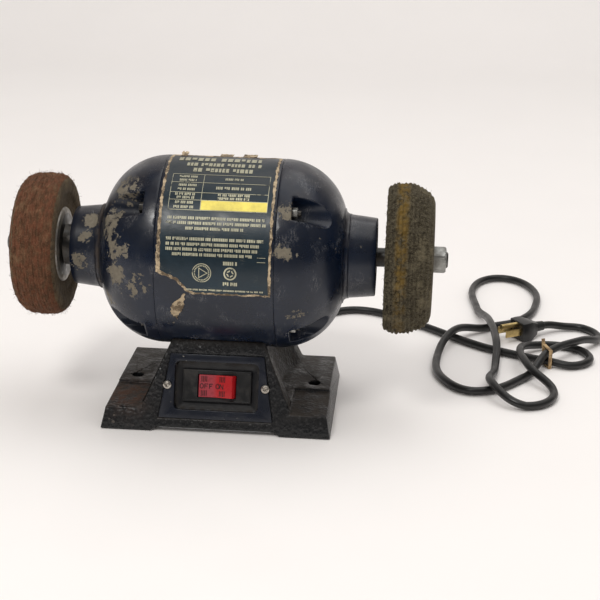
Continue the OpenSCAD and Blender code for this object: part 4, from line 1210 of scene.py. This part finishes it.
def print_marks():
    """Everything printed on the film, as plain marks, and the blank strip in the table."""
    pick = random.Random(21)
    marks = line_of_marks(-28, 30, 77.6, 4.1, pick, 2.7, 7)
    marks += line_of_marks(-22, 26, 71.2, 4.0, pick, 2.9, 6)
    marks += table_marks(pick)
    for degrees, u0, u1 in ((35.2, -36, 37), (32.2, -37, 38), (29.1, -22, 22),
                            (23.0, -36, 37), (20.0, -36, 35), (17.1, -36, 34), (14.2, -31, 29)):
        marks += line_of_marks(u0, u1, degrees, 1.75, pick, 1.15, 9)
    for u, degrees, radius, thick, parts, gap in (
        (-8.5, 3.8, 7.2, 0.6, 40, 0.0), (-8.5, 3.8, 5.9, 0.9, 26, 0.35), (-8.5, 3.8, 4.7, 1.1, 3, 0.0),
        (12.8, 3.9, 4.9, 1.1, 32, 0.0), (12.8, 3.9, 2.9, 1.1, 4, 0.3),
    ):
        marks += ring_of_marks(u, degrees, radius, thick, parts, gap)
    marks += line_of_marks(7.5, 19, 9.8, 2.1, pick, 1.3, 6)
    marks += line_of_marks(7.5, 18.5, -2.2, 2.1, pick, 1.4, 9)
    marks += line_of_marks(-20, 39, -6.4, 1.0, pick, 0.9, 8)
    for degrees in (13.7, 11.2):
        marks.append(bar(32.7, 39, degrees - 0.15, degrees + 0.15))
    marks += line_of_marks(-35.5, 37, 85.6, 5.6, pick, 4.6, 12)
    hand_over(printed("label_marks", marks, PRINT_LIFT), "housing", "label", FINISHES["label_print"])
    strip = printed("label_strip", [bar(-11.9, 37.8, 40.4, 46.4)], PRINT_LIFT + 0.00002)
    hand_over(strip, "housing", "label", FINISHES["label_strip"])


def make_scrap():
    """The scrap of backing that is left below the torn corner."""
    left_of = ((-27.5, -30.8), (-24, -33.0), (-20, -33.2), (-16, -30.4), (-12, -25.0), (-9.4, -22.6))
    right_of = ((-27.5, -28.6), (-24, -26.6), (-20, -23.4), (-16, -22.4), (-12, -21.6), (-9.4, -21.4))

    def side(stops, angle, seed):
        return curve_through(stops, math.degrees(angle)) * MM + torn(angle * BEND_R, seed, 0.0009, 420)

    scrap = label_sheet(
        "label_scrap", lambda a: side(left_of, a, 11.0), lambda a: side(right_of, a, 12.0),
        lambda t: math.radians(-27.5 + 1.3 * math.sin(t * 5)), lambda t: math.radians(-9.4),
        0.00006, 0.0003, (16, 34), 0.0003, 9.0)
    hand_over(scrap, "housing", "label", FINISHES["label_paper"])


def make_curl(name, u0, u1, start, rise, seed):
    """A strip of backing that curls up from the label's upper edge."""
    long = 7

    def end(t):
        return math.radians(start + long + 1.6 * noise.noise(Vector((t * 4, seed, 0))))

    curl = label_sheet(
        name, lambda a: u0 * MM + torn(a * 0.2, 20 + seed, 0.0006, 300),
        lambda a: u1 * MM + torn(a * 0.2, 30 + seed, 0.0006, 300),
        lambda t: math.radians(start), end, 0.0006, 0.0002, (10, 12), 0.0, seed)
    for corner in curl.data.vertices:
        away = corner.co - CENTRE
        angle = math.degrees(math.atan2(away.z, -away.y)) - start
        lift = rise * max(0.0, angle / long) ** 2
        corner.co += Vector((0, away.y, away.z)).normalized() * lift
    hand_over(curl, "housing", "label", FINISHES["label_paper"])


class GRINDER_OT_label(bpy.types.Operator):
    """Make the data label: torn backing paper, film, blank strip and generic printed marks"""

    bl_idname = "grinder.label"
    bl_label = "Label"

    def execute(self, context):
        make_backing()
        make_film()
        print_marks()
        make_scrap()
        make_curl("label_curl_left", -36, -31, 92, 0.0022, 1.0)
        make_curl("label_curl_mid", -6, 4, 96, 0.001, 2.0)
        make_curl("label_curl_right", 12, 23, 96, 0.0013, 3.0)
        return {"FINISHED"}


# ---- Cord ----

# The route of the cord along the floor, in metres, from the strain relief to the plug
CORD_ROUTE = (
    (0.024, 0.09116, 0.022), (0.025, 0.118, 0.015), (0.038, 0.165, 0.0035), (0.068, 0.214, 0.0035),
    (0.104, 0.23, 0.0035), (0.15, 0.202, 0.0035), (0.212, 0.147, 0.0035), (0.248, 0.126, 0.0035),
    (0.27, 0.114, 0.0046), (0.295, 0.108, 0.0035), (0.31, 0.13, 0.0035), (0.292, 0.154, 0.0035),
    (0.26, 0.146, 0.0065), (0.247, 0.118, 0.0124), (0.252, 0.08, 0.0122), (0.271, 0.04, 0.0035),
    (0.246, 0.011, 0.0035), (0.219, 0.038, 0.0116), (0.224, 0.09, 0.004), (0.227, 0.137, 0.0118),
    (0.223, 0.195, 0.0116), (0.214, 0.25, 0.0035), (0.214, 0.322, 0.0035), (0.242, 0.351, 0.0035),
    (0.271, 0.322, 0.0035), (0.27, 0.258, 0.0035), (0.25, 0.217, 0.0035), (0.221, 0.196, 0.0035),
    (0.19, 0.163, 0.0117), (0.174, 0.112, 0.0035), (0.18, 0.06, 0.0035), (0.208, 0.038, 0.0035),
    (0.25, 0.076, 0.0035), (0.271, 0.113, 0.0128), (0.303, 0.15, 0.0118), (0.323, 0.18, 0.0035),
    (0.314, 0.205, 0.0035), (0.294, 0.207, 0.0045), (0.273, 0.194, 0.009),
)
PLUG_WAY = Vector((math.cos(math.radians(212)), math.sin(math.radians(212)), 0))
CORD_STEP = 0.002


def cord_centreline(radius):
    """Points about one step apart on the smooth curve through the route."""
    route = [Vector(p) for p in CORD_ROUTE]
    last = len(route) - 1

    def heading(i):
        if i == 0:
            return Vector((0, 1, 0))
        return PLUG_WAY if i == last else (route[i + 1] - route[i - 1]).normalized()

    points = []
    for i in range(last):
        a, d = route[i], route[i + 1]
        reach = (d - a).length * 0.37
        b, c = a + heading(i) * reach, d - heading(i + 1) * reach
        count = max(4, round((d - a).length / CORD_STEP))
        for k in range(count):
            t = k / count
            p = a * (1 - t) ** 3 + b * 3 * t * (1 - t) ** 2 + c * 3 * t * t * (1 - t) + d * t ** 3
            p.z = max(p.z, radius)
            points.append(p)
    return points + [route[-1]]


class GRINDER_OT_cord(bpy.types.Operator):
    """Make the cord, with its plug, tie and strain relief"""

    bl_idname = "grinder.cord"
    bl_label = "Cord"

    def execute(self, context):
        across = setting("grinder_cord", "diameter")
        points = cord_centreline(across / 2)
        curve = bpy.data.curves.new("cord", "CURVE")
        curve.dimensions = "3D"
        curve.bevel_depth = across / 2
        curve.bevel_resolution = 4
        curve.use_fill_caps = True
        spline = curve.splines.new("POLY")
        spline.points.add(len(points) - 1)
        for target, point in zip(spline.points, points):
            target.co = (*point, 1)
        spline.use_smooth = True
        cord = placed("cord", curve)
        curve.materials.append(FINISHES["rubber"])
        hand_over(cord, "housing", "rubber", None, "power_cord")

        plug = rounded_copy("plug_body", "plug", 0.0006)
        hand_over(plug, "housing", "rubber", FINISHES["rubber"], "plug_body")
        relief = rounded_copy("strain_relief", "strain_relief_rubber", 0.0003)
        hand_over(relief, "housing", "rubber", FINISHES["rubber"], "strain_relief")
        finish_cad("plug_blades", "brass")
        finish_cad("cord_tie", "tie")
        return {"FINISHED"}


# ---- Housing, base and hardware ----


class GRINDER_OT_housing(bpy.types.Operator):
    """Round the edges of the motor's shell and end bells, and finish what is inside them"""

    bl_idname = "grinder.housing"
    bl_label = "Motor Housing"

    def execute(self, context):
        width = setting("grinder_paint", "edge_round")
        for node, name, share in (
            ("stator_shell", "shell_paint", 0.35), ("left_end_bell", "left_bell_paint", 0.7),
            ("right_end_bell", "right_bell_paint", 0.7),
        ):
            piece = rounded_copy(node, name, width * share)
            hand_over(piece, "housing", "housing_blue", FINISHES["housing_blue"], node)
        for name, nodes in (
            ("lamination", ("stator_core", "rotor_core")), ("copper", ("stator_windings",)),
            ("aluminium", ("rotor_cage",)),
            ("bright_steel", ("left_outer_race", "right_outer_race", "left_inner_race", "right_inner_race",
                              "left_ball_set", "right_ball_set", "wave_spring")),
            ("steel", ("shaft",)), ("capacitor", ("capacitor",)), ("sheet", ("capacitor_clip",)),
            ("zinc", ("clip_screws",)),
        ):
            for node in nodes:
                finish_cad(node, name)
        return {"FINISHED"}


class GRINDER_OT_base(bpy.types.Operator):
    """Round the cast base's edges and finish its cover and screws"""

    bl_idname = "grinder.base"
    bl_label = "Base"

    def execute(self, context):
        base = rounded_copy("base", "base_casting", setting("grinder_paint", "edge_round"))
        hand_over(base, "housing", "cast_black", FINISHES["cast_black"], "base")
        finish_cad("base_cover", "sheet")
        finish_cad("cover_screws", "zinc")
        finish_cad("housing_bolts", "zinc")
        finish_cad("switch_terminals", "brass")
        return {"FINISHED"}


def paint_shade_in_middle(piece, outer, inner, radius):
    """Gives the faces within a radius of the shaft's line another, darker finish: painted shade round a hub."""
    piece.data.materials.append(outer)
    piece.data.materials.append(inner)
    for face in piece.data.polygons:
        face.material_index = 1 if from_shaft(face.center) < radius else 0


class GRINDER_OT_hardware(bpy.types.Operator):
    """Round the flanges, nuts and bolts"""

    bl_idname = "grinder.hardware"
    bl_label = "Flanges, Nuts and Bolts"

    def execute(self, context):
        flanges = [(side + end, "rotor", 0.0005, "steel", "flange")
                   for side in ("left", "right") for end in ("_inner_flange", "_outer_flange")]
        for node, body, width, slot, finish in (
            *flanges,
            ("left_nut", "rotor", 0.0007, "zinc", "zinc"),
            ("right_nut", "rotor", 0.0007, "zinc", "zinc"),
            ("through_bolts", "housing", 0.0004, "steel", "steel"),
            ("through_bolt_nuts", "housing", 0.0004, "zinc", "zinc"),
        ):
            piece = rounded_copy(node, node + "_metal", width)
            # Painted shade: the middle of the left inner flange takes the dark steel finish to stand for the
            # shadow round its hub
            if node == "left_inner_flange":
                paint_shade_in_middle(piece, FINISHES[finish], FINISHES["steel"], 0.0235)
            hand_over(piece, body, slot, FINISHES[finish], node)
        return {"FINISHED"}


# ---- Switch ----


# How far out of the leaning face the rocker's marks start, before they drop onto it
DROP_FROM = 0.03


def strokes(name, quads, depth):
    """Flat marks on the leaning face, from quads of (across, up) in metres, as thin raised pieces."""
    points, faces = [], []
    for quad in quads:
        base = len(points)
        points += [face_point(u, v, DROP_FROM) for u, v in quad]
        faces.append((base, base + 1, base + 2, base + 3))
    made = new_piece(name, points, faces)
    edit(made)
    bpy.ops.mesh.subdivide(number_cuts=2)
    leave_edit()
    drop_onto(made, "switch_rocker", face_point(0, 0, DROP_FROM), -FACE_OUT, 0.00006)
    apply_modifier(made, "SOLIDIFY", thickness=depth, offset=1.0)
    outward(made, 1e-7)
    return made


def stroke(u0, v0, u1, v1, thick):
    """A straight stroke between two places given in millimetres."""
    a, b = Vector((u0, v0)), Vector((u1, v1))
    side = Vector((-(b - a).y, (b - a).x)).normalized() * thick / 2
    return tuple((p.x * MM, p.y * MM) for p in (a - side, b - side, b + side, a + side))


def letter(kind, u, v, wide, tall, thick):
    """The strokes of a plain O, F or N, centred at a place in millimetres."""
    left, right, low, high = u - wide / 2, u + wide / 2, v - tall / 2, v + tall / 2
    if kind == "F":
        top = high - thick / 2
        return [stroke(left, low, left, high, thick), stroke(left, top, right, top, thick),
                stroke(left, v, right - wide * 0.2, v, thick)]
    if kind == "N":
        return [stroke(left, low, left, high, thick), stroke(right, low, right, high, thick),
                stroke(left, high, right, low, thick)]
    corners = [(left, low + tall * 0.25), (left, high - tall * 0.25), (u, high), (right, high - tall * 0.25),
               (right, low + tall * 0.25), (u, low)]
    return [stroke(*corners[i], *corners[(i + 1) % 6], thick) for i in range(6)]


def face_extent(node):
    """The lowest and highest (across, up, out) of a node on the leaning face."""
    found = []
    for corner in NODES[node].data.vertices:
        away = corner.co - FACE_FOOT
        found.append((away.x, away.dot(FACE_UP), away.dot(FACE_OUT)))
    return [min(v) for v in zip(*found)], [max(v) for v in zip(*found)]


def flat_block(name, low, high, width=0.0):
    """A block whose X, Y and Z run across, up and out of the leaning face until it is stood up."""
    clear_selection()
    bpy.ops.mesh.primitive_cube_add(size=1)
    made = bpy.context.object
    made.name = name
    for corner in made.data.vertices:
        for k in range(3):
            corner.co[k] = high[k] if corner.co[k] > 0 else low[k]
    if width:
        apply_modifier(made, "BEVEL", width=width, segments=3, limit_method="NONE")
    return made


def combine(piece, other, operation):
    """Cuts another piece out of a piece, or joins it on, and removes the other."""
    apply_modifier(piece, "BOOLEAN", object=other, operation=operation, solver="EXACT")
    bpy.data.objects.remove(other, do_unlink=True)


def stand_up(piece):
    """Moves a piece from the flat onto the leaning face."""
    for corner in piece.data.vertices:
        corner.co = face_point(*corner.co)
    piece.data.update()
    outward(piece)


# How far the rocker's cap stands in from its CAD shape at each side, and how deep its well is
CAP_INSET = 0.0009
WELL_DEEP = 0.014

# The rocker's flush half, above the pivot, its foot below the pivot and the slope of its raised half
ROCKER_FLUSH = 0.0048
ROCKER_FOOT = -0.003
ROCKER_SLOPE = math.tan(math.radians(18))


def make_bezel():
    """The switch's moulded frame, with a raised rim and the rocker's well."""
    low, high = face_extent("switch_body")
    cap_low, cap_high = face_extent("switch_rocker")
    left, down, inside = low
    right, up, out = high
    seat, rim, play, back, above = 0.0024, 0.0011, 0.0003, 0.0025, 0.02
    deep = out - seat
    bezel = flat_block("switch_bezel", (left, down, deep), high, 0.0006)
    sunk = flat_block(
        "sunk_face", (left + rim, down + rim, out - 0.00035), (right - rim, up - rim, 0.01), 0.0003)
    combine(bezel, sunk, "DIFFERENCE")
    case = flat_block("case", (left + back, down + back, inside), (right - back, up - back, deep + 0.0002))
    combine(bezel, case, "UNION")
    well = flat_block(
        "well", (cap_low[0] - play, cap_low[1] + CAP_INSET - play, out - WELL_DEEP),
        (cap_high[0] + play, cap_high[1] - CAP_INSET + play, above))
    combine(bezel, well, "DIFFERENCE")
    stand_up(bezel)
    smooth(bezel, 30)
    hand_over(bezel, "housing", "black_plastic", FINISHES["black_plastic"], "switch_body")


def rocker_outline(reach):
    """Points (across, out) from the pivot: one half flush, the other rising to a rounded end."""
    points = [(-reach * 0.98, ROCKER_FOOT), (-math.sqrt(reach ** 2 - ROCKER_FLUSH ** 2), ROCKER_FLUSH),
              (0.0, ROCKER_FLUSH)]
    # The slope meets the rocker's circle where the two have the same distance from the pivot
    lean = 1 + ROCKER_SLOPE ** 2
    lift = ROCKER_FLUSH * ROCKER_SLOPE
    end = (math.sqrt(lift ** 2 - lean * (ROCKER_FLUSH ** 2 - reach ** 2)) - lift) / lean
    start = math.atan2(ROCKER_FLUSH + ROCKER_SLOPE * end, end)
    stop = math.asin(ROCKER_FOOT / reach)
    steps = 14
    for k in range(steps + 1):
        turn = start + (stop - start) * k / steps
        points.append((reach * math.cos(turn), reach * math.sin(turn)))
    return points


def make_rocker():
    """The rocker's cap, drawn out from its outline between the sides of its well."""
    low, high = face_extent("switch_rocker")
    outline = rocker_outline((high[0] - low[0]) / 2)
    corners = [(u, low[1] + CAP_INSET, SWITCH_PIVOT_OUT + w) for u, w in outline]
    made = new_piece("rocker_cap", corners, [tuple(range(len(corners)))])
    edit(made)
    wide = high[1] - low[1] - 2 * CAP_INSET
    bpy.ops.mesh.extrude_region_move(TRANSFORM_OT_translate={"value": (0, wide, 0)})
    leave_edit()
    apply_modifier(made, "BEVEL", width=0.0005, segments=3, limit_method="ANGLE",
                   angle_limit=math.radians(40))
    stand_up(made)
    smooth(made, 40)
    hand_over(made, "rocker", "red_plastic", FINISHES["red_plastic"], "switch_rocker")


def mark_rocker():
    """OFF and ON on the rocker, and the ribs above and below them."""
    middle = SWITCH_V / MM
    for name, word, first, pitch in (
        ("rocker_marks_off", "OFF", -11.9, 3.7), ("rocker_marks_on", "ON", 0.6, 3.2),
    ):
        quads = []
        for k, kind in enumerate(word):
            quads += letter(kind, first + pitch * k, middle, 2.5, 3.8, 0.6)
        hand_over(strokes(name, quads, 0.00012), "rocker", "red_plastic", FINISHES["marks"])
    quads = []
    for side in (-1, 1):
        for first in (-12.0, 2.4):
            for k in range(4):
                u = first + 1.3 * k
                quads.append(stroke(u, middle + side * 3.4, u, middle + side * 7.8, 0.5))
    hand_over(strokes("rocker_ribs", quads, 0.00025), "rocker", "red_plastic", FINISHES["marks"])


class GRINDER_OT_switch(bpy.types.Operator):
    """Make the switch plate, its screws, the bezel, and the rocker with its marks"""

    bl_idname = "grinder.switch"
    bl_label = "Switch"

    def execute(self, context):
        mark_rocker()
        plate = rounded_copy("switch_plate", "switch_plate_paint", 0.0004)
        hand_over(plate, "housing", "plate_blue", FINISHES["plate_blue"], "switch_plate")
        make_bezel()
        make_rocker()
        screws = rounded_copy("plate_screws", "plate_screw_heads", 0.0002)
        hand_over(screws, "housing", "bright_steel", FINISHES["nickel"], "plate_screws")
        return {"FINISHED"}


# ---- Stage ----


# The camera looks at this place beside the motor, from this far away and turned like this
VIEW_PLACE = Vector((0.05959, 0, 0.09002))
VIEW_DISTANCE = 1.1375
VIEW_YAW = math.radians(4.45)
VIEW_PITCH = math.radians(18.92)
VIEW_ROLL = math.radians(1.13)


def add_area(name, place, aim, width, height, power, tint):
    """A soft rectangular light at a place, facing another."""
    light = bpy.data.lights.new(name, "AREA")
    light.shape = "RECTANGLE"
    light.size = width
    light.size_y = height
    light.energy = power
    light.color = tint
    made = placed(name, light)
    made.location = place
    made.rotation_euler = (Vector(aim) - Vector(place)).to_track_quat("-Z", "Y").to_euler()


class GRINDER_OT_camera(bpy.types.Operator):
    """Place the camera"""

    bl_idname = "grinder.camera"
    bl_label = "Camera"

    def execute(self, context):
        data = bpy.data.cameras.new("camera")
        data.sensor_width = 36
        data.lens = setting("grinder_stage", "lens")
        data.clip_end = 30
        data.dof.use_dof = False
        back = Vector((math.sin(VIEW_YAW) * math.cos(VIEW_PITCH), -math.cos(VIEW_YAW) * math.cos(VIEW_PITCH),
                       math.sin(VIEW_PITCH)))
        level = (-back).cross(Vector((0, 0, 1))).normalized()
        rise = level.cross(-back)
        side = level * math.cos(VIEW_ROLL) + rise * math.sin(VIEW_ROLL)
        up = rise * math.cos(VIEW_ROLL) - level * math.sin(VIEW_ROLL)
        place = VIEW_PLACE + back * VIEW_DISTANCE
        camera = placed("camera", data)
        rows = [(side[k], up[k], back[k], place[k]) for k in range(3)]
        camera.matrix_world = Matrix([*rows, (0, 0, 0, 1)])
        context.scene.camera = camera
        context.scene.view_settings.view_transform = "Standard"
        return {"FINISHED"}


class GRINDER_OT_stage(bpy.types.Operator):
    """Make the pale floor, the soft lights and the world"""

    bl_idname = "grinder.stage"
    bl_label = "Stage"

    def execute(self, context):
        clear_selection()
        bpy.ops.mesh.primitive_grid_add(x_subdivisions=80, y_subdivisions=80, size=6, location=(0, 1.2, 0))
        floor = context.object
        floor.name = "floor"
        settle(floor)
        # The floor sweeps up behind the machine, and lies flat close to it
        sweep_from, sweep = 1.6, 0.9
        for corner in floor.data.vertices:
            beyond = corner.co.y - sweep_from
            if beyond > 0:
                corner.co.z = sweep * beyond ** 2
            else:
                gentle = noise.noise(corner.co * 3.0)
                near = max(0.0, 1 - (corner.co - Vector((0.1, 0.1, 0))).length / 0.7)
                corner.co.z = -0.0004 - 0.0012 * (1 - near) * abs(gentle)
        floor.data.update()
        smooth(floor, 60)
        floor.data.materials.append(FINISHES["floor"])

        add_area("key_light", (-0.5, -1.3, 1.9), (0, 0, 0.1), 0.6, 0.5,
                 setting("grinder_stage", "key_power"), (1, 0.98, 0.95))
        add_area("fill_light", (0.6, 0.5, 2.2), (0.05, 0, 0.1), 2.4, 2.0,
                 setting("grinder_stage", "fill_power"), (1, 0.99, 0.98))
        world = bpy.data.worlds.new("studio")
        context.scene.world = world
        world.use_nodes = True
        w = Wiring(world.node_tree)
        background = world.node_tree.nodes["Background"]
        background.inputs["Color"].default_value = (1.0, 0.965, 0.935, 1)
        rays = w.add("LightPath").outputs
        seen = w.times(rays["Is Camera Ray"], 0.97)
        shone = w.times(rays["Is Glossy Ray"], setting("grinder_stage", "reflections"))
        lit = w.times(rays["Is Diffuse Ray"], setting("grinder_stage", "ambient"))
        w.tree.links.new(w.plus(w.plus(seen, shone), lit), background.inputs["Strength"])
        return {"FINISHED"}


class GRINDER_OT_finishes(bpy.types.Operator):
    """Make every finish from the colours in the sidebar"""

    bl_idname = "grinder.finishes"
    bl_label = "Finishes"

    def execute(self, context):
        FINISHES.update(make_finishes())
        return {"FINISHED"}


# ---- Sidebar and start ----

STEPS = ("camera", "finishes", "cord", "stage", "housing", "base", "hardware", "switch", "wheels", "label")

GROUPS = {
    "grinder_paint": GrinderPaint, "grinder_wheels": GrinderWheels, "grinder_label": GrinderLabel,
    "grinder_switch": GrinderSwitch, "grinder_cord": GrinderCord, "grinder_stage": GrinderStage,
}


class GRINDER_PT_sidebar(bpy.types.Panel):
    """Sizes and colours of the grinder, and the operators that make it"""

    bl_idname = "GRINDER_PT_sidebar"
    bl_label = "Bench Grinder"
    bl_space_type = "VIEW_3D"
    bl_region_type = "UI"
    bl_category = "Grinder"

    def draw(self, context):
        for pointer in GROUPS:
            group = getattr(context.scene, pointer)
            box = self.layout.box()
            for name in group.bl_rna.properties.keys():
                if name not in ("rna_type", "name"):
                    box.prop(group, name)
        for step in STEPS:
            self.layout.operator("grinder." + step)


OPERATORS = (
    GRINDER_OT_camera, GRINDER_OT_finishes, GRINDER_OT_cord, GRINDER_OT_stage, GRINDER_OT_housing,
    GRINDER_OT_base, GRINDER_OT_hardware, GRINDER_OT_switch, GRINDER_OT_wheels, GRINDER_OT_label,
)


def register():
    for made in (*GROUPS.values(), *OPERATORS, GRINDER_PT_sidebar):
        bpy.utils.register_class(made)
    for pointer, kind in GROUPS.items():
        setattr(bpy.types.Scene, pointer, bpy.props.PointerProperty(type=kind))


def unregister():
    for pointer in GROUPS:
        delattr(bpy.types.Scene, pointer)
    for made in (GRINDER_PT_sidebar, *reversed(OPERATORS), *reversed(list(GROUPS.values()))):
        bpy.utils.unregister_class(made)


def write_size():
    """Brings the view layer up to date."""
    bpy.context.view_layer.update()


def main():
    register()
    for step in STEPS:
        getattr(bpy.ops.grinder, step)()
    write_size()


if __name__ == "__main__":
    main()
